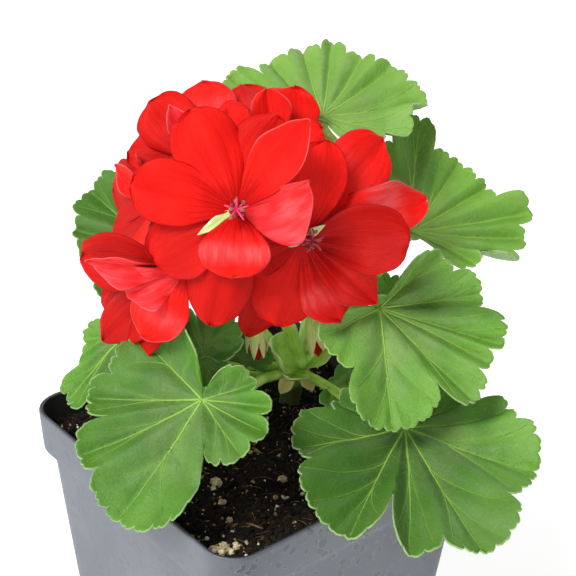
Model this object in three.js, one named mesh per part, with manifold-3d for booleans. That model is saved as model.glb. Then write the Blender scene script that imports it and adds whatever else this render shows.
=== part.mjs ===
// Zonal geranium in its square nursery pot. Millimetres, +Z up, origin at the centre of the pot's base.
// The pot's sides lie along X and Y. The plant is described in a frame of its own, with x across the
// head, y from the open side of the plant to its back, and z up from the plane of the pot's rim. That
// frame is turned and shifted a little in the pot.
import * as THREE from "three";
import Module from "manifold-3d";

const wasm = await Module();
wasm.setup();

// Driving dimensions of the pot
const POT_HEIGHT = 86;
const RIM_WIDTH = 95;
const BASE_WIDTH = 76;
const RIM_BAND_HEIGHT = 13;
const RIM_BAND_STEP = 2;
const RIM_BAND_TAPER = 0.8;
const POT_WALL = 1.3;
const POT_FLOOR = 2;
const RIM_CORNER_RADIUS = 9;
const BASE_CORNER_RADIUS = 7;
const DRAIN_HOLE_RADIUS = 4.5;
const DRAIN_HOLE_OFFSET = 22;

// Driving dimensions of the soil and of the plant
const SOIL_BELOW_RIM = 8;
const SOIL_RELIEF = 1.6;
const GAP = 0.3;
const STEM_RADIUS = 3.4;
const STEM_DEPTH = 22;
const LEAF_THICKNESS = 0.7;
const PETAL_THICKNESS = 0.7;
const LEAF_HEART = 1.8;
const PLEAT_REACH = 20;
const TOOTH_WIDTH = 6.5;
const TOOTH_DEPTH = 1.2;
const TOOTH_SHARE = 0.1;
const TOOTH_SAMPLES = [0, 0.3, 0.7];
const BLADE_RINGS = [1, 0.66, 0.33];
const CLAW_START = 1.2;
const CLAW_SHARE = 0.16;
const PETAL_WIDEST = 0.62;
const PETAL_ROWS = [0, 0.3, 0.62, 0.88];
const PETAL_COLUMNS = 4;
const STEM_FOOT = [12, 26, -8];
const STEM_HEAD = [14, 22, 7];
const STEM_TOP_RADIUS = 2.8;
const PLANT_TURN = -40.9;
const PLANT_SHIFT = [-2.9, -3];

const rad = THREE.MathUtils.degToRad;
const vec = (x, y, z) => new THREE.Vector3(x, y, z);

// Finishes
const finish = (color, roughness) => new THREE.MeshStandardMaterial({ color, roughness, metalness: 0 });
const POT_GREY = finish(0x6c7078, 0.55);
const SOIL_BROWN = finish(0x2a1f17, 0.95);
const LEAF_GREEN = finish(0x649c3e, 0.6);
const YOUNG_GREEN = finish(0x3f7a2c, 0.6);
const STALK_GREEN = finish(0x86b04a, 0.55);
const PETAL_RED = finish(0xe8201a, 0.5);
const STIGMA_PINK = finish(0xd8325a, 0.5);

// Closed solids from lists of points and triangles
function solid({ points, faces }) {
  const vertProperties = new Float32Array(points.flatMap((p) => [p.x, p.y, p.z]));
  const triVerts = new Uint32Array(faces.flat());
  return new wasm.Manifold(new wasm.Mesh({ numProp: 3, vertProperties, triVerts }));
}

function part(name, body, material) {
  const { numProp, vertProperties, triVerts } = body.getMesh();
  const position = new Float32Array((vertProperties.length / numProp) * 3);
  for (let i = 0; i < position.length / 3; i += 1) {
    for (let k = 0; k < 3; k += 1) {
      position[3 * i + k] = vertProperties[numProp * i + k];
    }
  }
  const geometry = new THREE.BufferGeometry();
  geometry.setAttribute("position", new THREE.BufferAttribute(position, 3));
  geometry.setIndex(new THREE.BufferAttribute(new Uint32Array(triVerts), 1));
  geometry.computeVertexNormals();
  const mesh = new THREE.Mesh(geometry, material);
  mesh.name = name;
  return mesh;
}

// The largest connected piece of a cut solid: loose scraps are dropped
function largest(body) {
  return body.decompose().reduce((best, piece) => (piece.volume() > best.volume() ? piece : best));
}

// Rings of equal count joined in order, with a fan over the first and the last
function loft(rings, startTip, endTip) {
  const count = rings[0].length;
  const points = rings.flat().concat([startTip, endTip]);
  const start = points.length - 2;
  const end = points.length - 1;
  const faces = [];
  for (let i = 0; i < count; i += 1) {
    const j = (i + 1) % count;
    faces.push([start, j, i]);
    for (let k = 0; k + 1 < rings.length; k += 1) {
      const a = k * count;
      const b = a + count;
      faces.push([a + i, a + j, b + j], [a + i, b + j, b + i]);
    }
    const last = (rings.length - 1) * count;
    faces.push([end, last + i, last + j]);
  }
  return solid({ points, faces });
}

function disc(height, radius, sides, center = [0, 0], depth = 4) {
  const ring = (z) => Array.from({ length: sides }, (_, i) => {
    const a = (2 * Math.PI * i) / sides;
    return vec(center[0] + radius * Math.cos(a), center[1] + radius * Math.sin(a), z);
  });
  const top = height + depth;
  return loft([ring(height), ring(top)], vec(center[0], center[1], height), vec(center[0], center[1], top));
}

// Pot
function roundedSquare(half, radius, z, perCorner = 4) {
  const corners = [[1, 1], [-1, 1], [-1, -1], [1, -1]];
  return corners.flatMap(([sx, sy], c) => Array.from({ length: perCorner }, (_, i) => {
    const a = rad(90 * c + (90 * i) / (perCorner - 1));
    return vec(sx * (half - radius) + radius * Math.cos(a), sy * (half - radius) + radius * Math.sin(a), z);
  }));
}

const cornerAt = (z) => THREE.MathUtils.lerp(BASE_CORNER_RADIUS, RIM_CORNER_RADIUS, z / POT_HEIGHT);
const rimHalf = RIM_WIDTH / 2;
const bandFoot = POT_HEIGHT - RIM_BAND_HEIGHT;
const bodyTopHalf = rimHalf - RIM_BAND_TAPER - RIM_BAND_STEP;
const bodyHalf = (z) => THREE.MathUtils.lerp(BASE_WIDTH / 2, bodyTopHalf, Math.min(z / bandFoot, 1));

function pot() {
  const outer = [
    [0, BASE_WIDTH / 2],
    [bandFoot - RIM_BAND_STEP, bodyHalf(bandFoot - RIM_BAND_STEP)],
    [bandFoot, rimHalf - RIM_BAND_TAPER],
    [POT_HEIGHT, rimHalf],
  ].map(([z, half]) => roundedSquare(half, cornerAt(z), z));
  const inner = [
    [POT_HEIGHT, rimHalf - POT_WALL],
    [bandFoot, rimHalf - RIM_BAND_TAPER - POT_WALL],
    [bandFoot - RIM_BAND_STEP, bodyHalf(bandFoot - RIM_BAND_STEP) - POT_WALL],
    [POT_FLOOR, bodyHalf(POT_FLOOR) - POT_WALL],
  ].map(([z, half]) => roundedSquare(half, cornerAt(z) - POT_WALL, z));
  const shell = loft([...outer, ...inner], vec(0, 0, 0), vec(0, 0, POT_FLOOR));
  const holes = [[1, 1], [-1, 1], [-1, -1], [1, -1]].map(([sx, sy]) => (
    disc(-1, DRAIN_HOLE_RADIUS, 12, [sx * DRAIN_HOLE_OFFSET, sy * DRAIN_HOLE_OFFSET])
  ));
  return holes.reduce((body, hole) => body.subtract(hole), shell);
}

// Soil: fills the pot to below its rim, with a crumbly top raised by a formula
const soilTop = POT_HEIGHT - SOIL_BELOW_RIM;
const innerHalf = (z) => (z > bandFoot
  ? rimHalf - RIM_BAND_TAPER - POT_WALL + (RIM_BAND_TAPER * (z - bandFoot)) / RIM_BAND_HEIGHT
  : bodyHalf(z) - POT_WALL);

function crumb(x, y) {
  const clods = Math.sin(0.31 * x + 1.3) * Math.cos(0.27 * y - 0.4) + Math.sin(0.17 * x - 0.23 * y);
  const lumps = Math.sin(0.83 * x + 0.41 * y) * Math.sin(0.71 * y - 0.52 * x + 2.1);
  return SOIL_RELIEF * (0.45 * clods + 0.4 * lumps);
}

function soil(stemX, stemY) {
  const bottom = POT_FLOOR + GAP;
  const side = [bottom, bandFoot - RIM_BAND_STEP - GAP, soilTop - SOIL_RELIEF].map((z) => {
    const half = Math.min(innerHalf(z), bodyTopHalf - POT_WALL) - GAP;
    return roundedSquare(half, cornerAt(z) - POT_WALL, z);
  });
  const edge = side[side.length - 1];
  const rings = [0.96, 0.8, 0.6, 0.4, 0.2].map((k) => edge.map((p) => {
    const x = p.x * k;
    const y = p.y * k;
    return vec(x, y, soilTop + crumb(x, y));
  }));
  const body = loft([...side, ...rings], vec(0, 0, bottom), vec(0, 0, soilTop + crumb(0, 0)));
  const hole = disc(soilTop - STEM_DEPTH, STEM_RADIUS + 2 * GAP, 10, [stemX, stemY], 2 * STEM_DEPTH);
  return body.subtract(hole);
}

// Thin sheets: a surface of points and triangles given its thickness, split alike on both faces
function sheet(points, faces, thickness) {
  const normals = points.map(() => vec(0, 0, 0));
  const edges = new Map();
  for (const [a, b, c] of faces) {
    const n = points[b].clone().sub(points[a]).cross(points[c].clone().sub(points[a]));
    for (const i of [a, b, c]) {
      normals[i].add(n);
    }
    for (const [i, j] of [[a, b], [b, c], [c, a]]) {
      edges.set(`${i},${j}`, [i, j]);
    }
  }
  const offset = (sign) => points.map((p, i) => (
    p.clone().addScaledVector(normals[i].clone().normalize(), (sign * thickness) / 2)
  ));
  const n = points.length;
  const under = faces.map(([a, b, c]) => [a + n, c + n, b + n]);
  const rim = [];
  for (const [a, b] of edges.values()) {
    if (!edges.has(`${b},${a}`)) {
      rim.push([b, a, a + n], [b, a + n, b + n]);
    }
  }
  return { points: [...offset(1), ...offset(-1)], faces: [...faces, ...under, ...rim] };
}

// Tubes along a smooth curve, narrowing from the first radius to the second
function tube(route, r0, r1, sides = 7, steps = 10) {
  const curve = new THREE.CatmullRomCurve3(route.map(([x, y, z]) => vec(x, y, z)), false, "centripetal");
  const { normals, binormals } = curve.computeFrenetFrames(steps, false);
  const rings = normals.map((normal, k) => {
    const t = k / steps;
    const radius = THREE.MathUtils.lerp(r0, r1, t);
    const at = curve.getPointAt(t);
    return Array.from({ length: sides }, (_, i) => {
      const a = (2 * Math.PI * i) / sides;
      return at.clone()
        .addScaledVector(normal, radius * Math.cos(a))
        .addScaledVector(binormals[k], radius * Math.sin(a));
    });
  });
  return loft(rings, curve.getPointAt(0), curve.getPointAt(1));
}

// Leaves. A leaf lies about the head of its stalk. Its outline is a list of lobes, each with the angle and
// reach of its tip and of the notch after it; the angle runs from the midrib, anticlockwise from above.
function outline(lobes) {
  const spans = lobes.map(([tip, reach, notch, depth], i) => {
    const before = lobes[(i + lobes.length - 1) % lobes.length];
    const start = i === 0 ? before[2] - 360 : before[2];
    const teeth = Math.max(1, Math.round((rad(notch - start) * reach) / TOOTH_WIDTH));
    return { start, startDepth: before[3], tip, reach, notch, depth, teeth };
  });
  const radius = (span, angle) => {
    const rising = angle < span.tip;
    const low = rising ? span.startDepth : span.depth;
    const u = rising
      ? (angle - span.start) / (span.tip - span.start)
      : (span.notch - angle) / (span.notch - span.tip);
    const phase = (((angle - span.start) / (span.notch - span.start)) * span.teeth) % 1;
    const depth = Math.min(TOOTH_DEPTH, TOOTH_SHARE * span.reach);
    const tooth = depth * (1 - Math.sqrt(Math.abs(Math.sin(Math.PI * phase))));
    return Math.max(low + (span.reach - low) * Math.sqrt(1 - (1 - u) ** 2) - tooth, LEAF_HEART);
  };
  return { spans, radius };
}

// A blade's surface: pleats along the lobes, a cup or droop, and an outer part that bends over, more so
// along the directions that curls names as [angle, spread, degrees]
function bladePoint(leaf, span, angle, reach, q) {
  const { pleat = 1.6, cup = 0, bend = 0, curls = [], bendFrom = 0.45 } = leaf;
  const u = (angle - span.start) / (span.notch - span.start);
  const ridge = pleat * q ** 1.4 * 0.5 * (1 + Math.cos(2 * Math.PI * u)) * Math.min(1, reach / PLEAT_REACH);
  const turn = curls.reduce((sum, [at, spread, degrees]) => {
    const away = ((angle - at + 540) % 360) - 180;
    return sum + rad(degrees) * Math.exp(-((away / spread) ** 2));
  }, rad(bend));
  const flat = Math.min(q, bendFrom) * reach;
  const rest = q * reach - flat;
  const bendRadius = ((1 - bendFrom) * reach) / (Math.abs(turn) < 0.01 ? 0.01 : turn);
  const out = flat + bendRadius * Math.sin(rest / bendRadius);
  const lift = bendRadius * (1 - Math.cos(rest / bendRadius));
  return vec(out * Math.cos(rad(angle)), out * Math.sin(rad(angle)), lift + ridge + cup * q * q);
}

// Rings from the rim inwards, each with half the points of the one outside it, and the stalk's head
function bladeSurface(leaf) {
  const { spans, radius } = outline(leaf.lobes);
  const rim = spans.flatMap((span) => Array.from({ length: span.teeth }, (_, k) => (
    TOOTH_SAMPLES.map((f) => ({ span,
    angle: span.start + ((k + f) / span.teeth) * (span.notch - span.start) }))
  )).flat());
  const kept = rim.slice(0, rim.length - (rim.length % 4));
  const rows = BLADE_RINGS.map((q, k) => kept.filter((_, i) => i % 2 ** k === 0)
    .map(({ span, angle }) => bladePoint(leaf, span, angle, radius(span, angle), q)));
  const points = rows.flat().concat([vec(0, 0, 0)]);
  const faces = [];
  let outer = 0;
  for (let k = 0; k + 1 < rows.length; k += 1) {
    const inner = outer + rows[k].length;
    const count = rows[k + 1].length;
    for (let i = 0; i < count; i += 1) {
      const [a, b, c] = [2 * i, 2 * i + 1, (2 * i + 2) % rows[k].length].map((n) => outer + n);
      const [d, e] = [inner + i, inner + ((i + 1) % count)];
      faces.push([a, b, d], [b, e, d], [b, c, e]);
    }
    outer = inner;
  }
  const last = rows[rows.length - 1].length;
  for (let i = 0; i < last; i += 1) {
    faces.push([outer + i, outer + ((i + 1) % last), points.length - 1]);
  }
  return { points, faces };
}

// Headings are degrees round from the open side of the plant, right positive
const heading = (degrees) => vec(Math.sin(rad(degrees)), -Math.cos(rad(degrees)), 0);
const leaning = (tilt, facing) => (
  heading(facing).multiplyScalar(Math.sin(rad(tilt))).add(vec(0, 0, Math.cos(rad(tilt))))
);

// The frame of a blade: its normal leans by tilt from upright towards facing, and its midrib points its way
function bladeFrame({ at, tilt, facing, points }) {
  const normal = leaning(tilt, facing);
  const midrib = heading(points);
  midrib.z = -(normal.x * midrib.x + normal.y * midrib.y) / normal.z;
  midrib.normalize();
  return new THREE.Matrix4().makeBasis(midrib, normal.clone().cross(midrib), normal).setPosition(...at);
}

// A point on the frame's z axis
const behind = (frame, z) => vec(0, 0, z).applyMatrix4(frame).toArray();

function leafBody(leaf) {
  const frame = bladeFrame(leaf);
  const { points, faces } = bladeSurface(leaf);
  return solid(sheet(points.map((p) => p.applyMatrix4(frame)), faces, LEAF_THICKNESS));
}

// The stalk of a leaf: from inside the stem, level fraction of its height up, to just under the blade
function leafStalk(leaf, spare) {
  const { level = 0.9, stalk = [], thick = 1.5 } = leaf;
  const root = vec(...STEM_FOOT).lerp(vec(...STEM_HEAD), level).toArray();
  const frame = bladeFrame(leaf);
  const end = [behind(frame, -2 * thick), behind(frame, -LEAF_THICKNESS / 2 - GAP)];
  return tube([root, ...stalk, ...end], thick + spare, 0.8 * thick + spare, 6, 6);
}

// Each lobe: angle and reach of its tip, angle and reach of the notch after it
const LEAVES = {
  leaf_front_left: {
    at: [-10.4, -30.5, 27.3], tilt: 48, facing: -20, points: -31.3,
    bend: 10, stalk: [[4, 4, 13], [-4, -18, 19]],
    lobes: [[-112, 27, -84, 26], [-70, 31.6, -58, 26], [-44, 35.6, -33.7, 32], [-12, 38, 28, 15],
      [58, 19.6, 72, 18], [84, 20.4, 95, 18], [104, 19.4, 118, 15], [127, 15.2, 172, 3.5],
      [186, 3.4, 200, 3.4]],
  },
  leaf_front_right: {
    at: [43.4, -15, 10.6], tilt: 18, facing: 20, points: -2,
    pleat: 1.8, cup: 1, bend: 6, stalk: [[24, 10, 7], [36, -6, 7]],
    lobes: [[-103, 21, -89, 21.5], [-66, 33.4, -54, 33], [-20, 43.6, -9, 25], [1, 44.2, 13, 39.5],
      [27, 44.8, 50.5, 34.5], [72, 37.5, 95, 31], [104, 30, 117, 24], [125, 24, 155, 4.5],
      [195, 4, 240, 4.5]],
  },
  leaf_right: {
    at: [35.2, -5, 42.2], tilt: 52, facing: 15, points: 10.2,
    pleat: 1.8, cup: 1, bend: 4, stalk: [[24, 16, 22], [33, 4, 36]],
    lobes: [[-64, 20, -31, 19.7], [0, 33.7, 30, 24.5], [41, 36, 54, 32], [60, 33.6, 65.5, 31.3],
      [70, 35, 87, 27], [95, 29, 113, 23], [127, 23.2, 146, 4], [190, 3.4, 266, 3.4]],
  },
  leaf_back_right: {
    at: [44, 15, 55.5], tilt: 40, facing: 20, points: 109.5,
    pleat: 2, cup: 1, stalk: [[27, 25, 24], [40, 20, 46]],
    lobes: [[-38, 20.5, -32, 20.8], [-27, 30.6, -21.5, 29.5], [-12, 32.5, -6, 31], [1, 36, 13, 27],
      [22, 27.2, 29.6, 25.4], [44, 27.5, 62.5, 27.4], [71, 36.6, 90, 28], [105, 27, 125, 20],
      [150, 20, 190, 4], [245, 3.4, 298, 3.4]],
  },
  leaf_top: {
    at: [18.2, 25, 84.3], tilt: 18, facing: 0, points: 167.4,
    pleat: 1.8, cup: 0.5, bend: 4, stalk: [[20, 35, 30], [29, 36, 62]],
    lobes: [[-118, 20, -106, 20], [-95, 25, -73, 23.5], [-62, 30.3, -47, 28.3], [-30, 29.2, -22.4, 25.8],
      [-11, 28.7, -1.5, 28], [8, 32, 13.8, 28.5], [24, 28.8, 36, 25.8], [46, 27.2, 60.5, 23.3],
      [74, 30.5, 96, 23], [115, 24, 150, 5], [180, 3.6, 210, 4]],
  },
  leaf_left: {
    at: [-26.4, 8, 51.4], tilt: 45, facing: -30, points: -124.5,
    cup: 1, bend: 4, stalk: [[-2, 26, 22], [-22, 18, 42]],
    lobes: [[-14, 28.8, 2.9, 25.4], [12, 24.8, 20, 22.6], [29, 22, 50, 15], [80, 20, 120, 12],
      [160, 16, 200, 5], [225, 4, 250, 4.5], [275, 16, 315, 12]],
  },
  leaf_low_left: {
    at: [-34.7, 5, 25.4], tilt: 55, facing: -40, points: -83.4,
    pleat: 1.4, stalk: [[-6, 21, 9], [-28, 14, 18]],
    lobes: [[-35, 14.5, -6, 17.2], [8, 26, 26, 22], [45, 21, 90, 10], [120, 14, 160, 6],
      [190, 3.5, 220, 4], [255, 12, 290, 8]],
  },
  leaf_back: {
    at: [16, 56, 24], tilt: 24, facing: 175, points: 178,
    bend: -10, stalk: [[16, 34, 15], [17, 46, 22]],
    lobes: [[-120, 22, -96, 18], [-76, 26, -56, 22], [-34, 28, -18, 24], [0, 29, 18, 24],
      [36, 28, 56, 22], [76, 26, 96, 18], [120, 22, 165, 4], [180, 3.4, 195, 4]],
  },
  leaf_middle_right: {
    at: [38, 13, 30], tilt: 40, facing: 30, points: 120,
    pleat: 1, stalk: [[24, 20, 14], [34, 16, 24]], thick: 1.1,
    lobes: [[-60, 14, -38, 11], [-20, 16.5, 0, 13], [20, 16.5, 38, 11], [60, 14, 120, 5],
      [180, 3, 240, 5]],
  },
};

const YOUNG_LEAVES = {
  young_leaf_fan: {
    at: [-12, 0, 22], tilt: 60, facing: -10, points: -150,
    pleat: 1.6, bend: 20, stalk: [[4, 12, 12], [-8, 4, 18]], thick: 1,
    lobes: [[-50, 11, -36, 8], [-20, 13, -6, 9.5], [10, 13, 26, 9], [42, 11, 110, 3.5],
      [180, 2.6, 240, 3.5]],
  },
  young_leaf_round: {
    at: [-11, -4, 22], tilt: 50, facing: 0, points: -10,
    pleat: 0.8, stalk: [[3, 10, 11], [-6, 1, 18]], thick: 0.9,
    lobes: [[-60, 7, -30, 6], [0, 8, 30, 6], [60, 7, 120, 3], [180, 2.4, 240, 3]],
  },
  young_leaf_dark: {
    at: [-1.5, 8, 16.5], tilt: 50, facing: 10, points: 170,
    pleat: 1, bend: -10, stalk: [[7, 15, 11]], thick: 1,
    lobes: [[-60, 9, -32, 7], [0, 10.5, 32, 7], [60, 9, 120, 3], [180, 2.4, 240, 3]],
  },
  young_leaf_low: {
    at: [25, 12, 7], tilt: 25, facing: 10, points: 60,
    pleat: 1, stalk: [[19, 17, 5]], thick: 1,
    lobes: [[-70, 9, -44, 7], [-18, 11.5, 6, 9], [34, 11, 60, 7], [84, 8, 130, 3], [190, 2.6, 250, 3]],
  },
};

// Petals. A petal leaves the middle of its floret along turn, degrees round the face from its right side,
// anticlockwise. It rises out of the face's plane by rise at its claw, and by rise plus curl at its tip.
// Its sides close by cup, fold creases it along its middle, and wave ripples its edges.
function petalPoint(petal, s, v) {
  const { turn, length, width, rise = 20, curl = -20, cup = 0, fold = 0, wave = 0 } = petal;
  const share = s < PETAL_WIDEST
    ? CLAW_SHARE + (1 - CLAW_SHARE) * Math.sin((Math.PI / 2) * (s / PETAL_WIDEST)) ** 1.15
    : Math.sqrt(Math.max(1e-4, 1 - ((s - PETAL_WIDEST) / (1 - PETAL_WIDEST)) ** 2.2));
  const half = (width / 2) * share;
  const bend = rad(Math.abs(curl) < 1 ? 1 : curl);
  const a0 = rad(rise);
  const a1 = a0 + bend * s;
  const out = CLAW_START + (length / bend) * (Math.sin(a1) - Math.sin(a0));
  const lift = (length / bend) * (Math.cos(a0) - Math.cos(a1));
  const firm = Math.min(1, 1.6 * share);
  const close = rad(Math.abs(cup) < 1 ? 1 : cup) * firm;
  const crease = rad(fold) * firm;
  const side = Math.abs(v);
  const across = (Math.sign(v) * half * (Math.sin(crease + close * side) - Math.sin(crease))) / close;
  const ripple = wave * side ** 2 * Math.sin(9 * s + 2 * Math.sign(v)) * share;
  const raise = (half * (Math.cos(crease) - Math.cos(crease + close * side))) / close + ripple;
  const r = out - raise * Math.sin(a1);
  const t = rad(turn);
  return vec(
    r * Math.cos(t) - across * Math.sin(t),
    r * Math.sin(t) + across * Math.cos(t),
    lift + raise * Math.cos(a1),
  );
}

function petalBody(petal, frame, spare = 0) {
  const wide = PETAL_COLUMNS + 1;
  const points = PETAL_ROWS.flatMap((s) => (
    Array.from({ length: wide }, (_, i) => petalPoint(petal, s, (2 * i) / PETAL_COLUMNS - 1))
  ));
  points.push(petalPoint(petal, 1, 0));
  const faces = [];
  for (let k = 0; k + 1 < PETAL_ROWS.length; k += 1) {
    for (let i = 0; i < PETAL_COLUMNS; i += 1) {
      const a = k * wide + i;
      faces.push([a, a + wide, a + wide + 1], [a, a + wide + 1, a + 1]);
    }
  }
  for (let i = 0; i < PETAL_COLUMNS; i += 1) {
    const a = (PETAL_ROWS.length - 1) * wide + i;
    faces.push([a, points.length - 1, a + 1]);
  }
  return solid(sheet(points.map((p) => p.applyMatrix4(frame)), faces, PETAL_THICKNESS + 2 * spare));
}

// The frame of a floret: z out of its face, y the way up in the face, x to the right of one who faces it
function faceFrame({ at, tilt, facing }) {
  const normal = leaning(tilt, facing);
  const up = vec(0, 0, 1).addScaledVector(normal, -normal.z).normalize();
  return new THREE.Matrix4().makeBasis(up.clone().cross(normal), up, normal).setPosition(...at);
}

// A round body along z from rings of [radius, z]
function turnedBody(frame, rings, sides = 6) {
  const place = (x, y, z) => vec(x, y, z).applyMatrix4(frame);
  const circle = ([r, z]) => Array.from({ length: sides }, (_, i) => (
    place(r * Math.cos((2 * Math.PI * i) / sides), r * Math.sin((2 * Math.PI * i) / sides), z)
  ));
  return loft(rings.map(circle), place(0, 0, rings[0][1]), place(0, 0, rings[rings.length - 1][1]));
}

const namePetal = ([turn, length, width, rise, curl, cup, fold, wave]) => (
  { turn, length, width, rise, curl, cup, fold, wave }
);

function floretBody(floret, spare = 0) {
  const frame = faceFrame(floret);
  const cushion = turnedBody(frame, [[1.2, -1.2], [2, -0.5], [2, 0.7], [1.2, 1.4]]);
  const petals = floret.petals.map((petal) => petalBody(namePetal(petal), frame, spare));
  return petals.reduce((body, petal) => body.add(petal), cushion);
}

// The florets of the head: place, lean and heading of the face, and its petals
// Each petal: turn, length, width, rise, curl, cup, fold, wave
const ROUND_PETALS = [[90, 20, 15, 22, -20, -10], [18, 19, 15, 22, -20, -10], [306, 20, 15, 20, -20],
  [234, 19, 15, 20, -20], [162, 20, 15, 22, -20, -10]];
const FLORETS = {
  floret_front: {
    at: [-3, -18, 75.5], tilt: 65, facing: 2,
    petals: [[107, 27.5, 16, 24, -24, -20], [53, 28, 15, 32, -14, 10, 50], [70, 25.5, 18, 12, -10],
      [167, 31, 16, 24, -24, -15], [212, 21.5, 17, 4, -14], [261, 21, 15, 12, 50, 20],
      [257, 29, 18, 4, -20, -35],
      [-6, 23, 22, 36, 10, 50]],
  },
  floret_right: {
    at: [14, -14, 66.5], tilt: 72, facing: 20,
    petals: [[-4, 26, 20, 16, 16, 40], [9, 35, 17, 2, -12, -20, 0, 4], [43, 33, 16, -8, -4, 10],
      [76, 24, 19, 6, -6, 14], [252, 24, 19, 0, -20, -30], [238, 28, 13, -14, -10, -10],
      [310, 25, 18, 4, -12, -20], [160, 15, 14, 6, 0, 10]],
  },
  floret_low_left: {
    at: [-15.6, -20, 59], tilt: 95, facing: -32,
    petals: [[177, 28, 18, 24, -8, 20], [183, 26, 13, 38, -8, 10, 55], [200, 21, 14, 50, -8, 20, 40],
      [244, 20, 17, 24, -14, -20], [216, 29, 14, 14, -10, 20], [231, 28, 12, 2, -4, 24],
      [202, 27, 14, 22, -6, 20]],
  },
  floret_top_left: {
    at: [-13.4, 0, 81.4], tilt: 40, facing: -40,
    petals: [[95, 20, 19, 14, 0, -14], [150, 18, 16, 20, 8, 30], [205, 18, 15, 20, 0, 10],
      [40, 17, 15, 20, -10], [122, 13, 12, 55, 20, 40]],
  },
  floret_top_right: {
    at: [5.8, 4, 82.9], tilt: 28, facing: 20,
    petals: [[60, 19, 18, 12, -6, -10], [105, 19, 18, 14, 0, -20], [14, 16, 15, 14, -10, -10],
      [150, 16, 15, 24, 0, 10], [80, 14, 14, 50, 10, 30]],
  },
  floret_left: {
    at: [-25, -2, 69.5], tilt: 82, facing: -70,
    petals: [[130, 12, 12, 30, -10], [196, 18, 16, 24, -10], [235, 18, 15, 24, -10],
      [75, 14, 14, 34, -10], [300, 15, 13, 30, -10]],
  },
  floret_back: { at: [7, 22, 60], tilt: 78, facing: 164, petals: ROUND_PETALS },
  floret_back_left: { at: [-12, 20, 69], tilt: 74, facing: -150, petals: ROUND_PETALS },
};

// What would cross the petals of a floret is cut clear of it
const CUT_BY = {
  floret_left: ["floret_top_left"],
  floret_top_right: ["floret_top_left"],
  floret_back: ["floret_back_left"],
  floret_back_left: ["floret_left"],
  leaf_left: ["floret_back_left"],
  leaf_front_left: ["floret_low_left"],
};

// Stalks of the flower head: one main stalk, and a stalk and a calyx for each floret and bud
const HUB = [3, 1, 52];
const HEAD_STALK = [[15.2, 20.6, 8.8], [11, 12, 26], [5.5, 4, 43], HUB];
const BUDS = {
  bud_left: { at: [2, 6, 31], tilt: 176, facing: 90, length: 12 },
  bud_right: { at: [17.6, 8, 30], tilt: 170, facing: 80, length: 11 },
  bud_back: { at: [-4, 16, 38], tilt: 160, facing: -140, length: 12 },
};

// A star of five sepals on a stalk's end. Each ring gives [tip radius, tip z, radius between tips, z there]
function star(frame, rings) {
  const ring = ([r0, z0, r1, z1]) => Array.from({ length: 10 }, (_, i) => {
    const [r, z] = i % 2 === 0 ? [r0, z0] : [r1, z1];
    return vec(r * Math.cos((Math.PI * i) / 5), r * Math.sin((Math.PI * i) / 5), z).applyMatrix4(frame);
  });
  const tip = (r) => vec(0, 0, r[3]).applyMatrix4(frame);
  return loft(rings.map(ring), tip(rings[0]), tip(rings[rings.length - 1]));
}

// Swept back behind an open floret, closed round a bud
const openCalyx = (frame) => (
  star(frame, [[1.3, -2.6, 1.3, -2.6], [7.6, -4, 1.7, -1.2], [7.2, -3.2, 1.7, 0], [1, 0, 1, 0]])
);
const closedCalyx = (frame, length) => star(frame, [
  [0.8, -2, 0.8, -2], [1.9, 0, 1.9, 0], [2.6, 0.45 * length, 2.5, 4], [1.9, length, 2.3, 5],
  [1.4, length - 0.6, 1.8, 4.8], [2, 0.45 * length, 1.9, 4], [1, 1, 1, 1],
]);

function flowerStalk() {
  const hubFrame = new THREE.Matrix4().setPosition(...HUB);
  const hub = turnedBody(hubFrame, [[0.6, -2.8], [2.4, -1.2], [2.6, 1], [0.8, 2.8]], 8);
  let body = tube(HEAD_STALK, 2.1, 1.7, 7, 7).add(hub);
  for (const floret of Object.values(FLORETS)) {
    const frame = faceFrame(floret).multiply(new THREE.Matrix4().makeTranslation(0, 0, -1.2 - GAP));
    const pedicel = tube([HUB, behind(frame, -8), behind(frame, -2)], 0.9, 0.8, 5, 3);
    body = body.add(pedicel).add(openCalyx(frame));
  }
  for (const bud of Object.values(BUDS)) {
    const frame = faceFrame(bud);
    body = body.add(tube([HUB, behind(frame, -6), behind(frame, -1)], 0.7, 0.7, 5, 3));
    body = body.add(closedCalyx(frame, bud.length));
  }
  return body;
}

// The red of a bud, inside its sepals
const budBody = (bud) => turnedBody(
  faceFrame(bud),
  [[0.4, 1 + GAP], [0.9, 2.6], [1.2, 0.5 * bud.length], [0.9, bud.length - 1], [0.2, bud.length + 1.4]],
);

// The pink style and its five arms, standing in the middle of an open floret
function styleBody(floret) {
  const frame = faceFrame(floret).multiply(new THREE.Matrix4().makeTranslation(0, 0, 1.4 + GAP));
  return star(frame, [[1, 0, 1, 0], [0.8, 4, 0.7, 4], [2.8, 6.2, 0.8, 4.9], [2.6, 6.9, 0.6, 5.6]]);
}

// The stem with the cupped bracts at its head
const BRACTS = [[150, 14, 11, 62, 16, 60], [30, 13, 12, 40, -6, 60], [268, 11, 10, 16, 60, 50]];

function stems(spare = 0) {
  const foot = [STEM_FOOT[0], STEM_FOOT[1], STEM_FOOT[2] - STEM_DEPTH + 2];
  const stem = tube([foot, STEM_FOOT, STEM_HEAD], STEM_RADIUS + spare, STEM_TOP_RADIUS + spare, 8, 6);
  const frame = faceFrame({ at: [STEM_HEAD[0], STEM_HEAD[1] - 1, STEM_HEAD[2]], tilt: 35, facing: 0 });
  const bracts = BRACTS.map((bract) => petalBody(namePetal(bract), frame, spare));
  const stalks = Object.values({ ...LEAVES, ...YOUNG_LEAVES }).map((leaf) => leafStalk(leaf, spare));
  return largest([...bracts, ...stalks].reduce((body, piece) => body.add(piece), stem));
}

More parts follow.
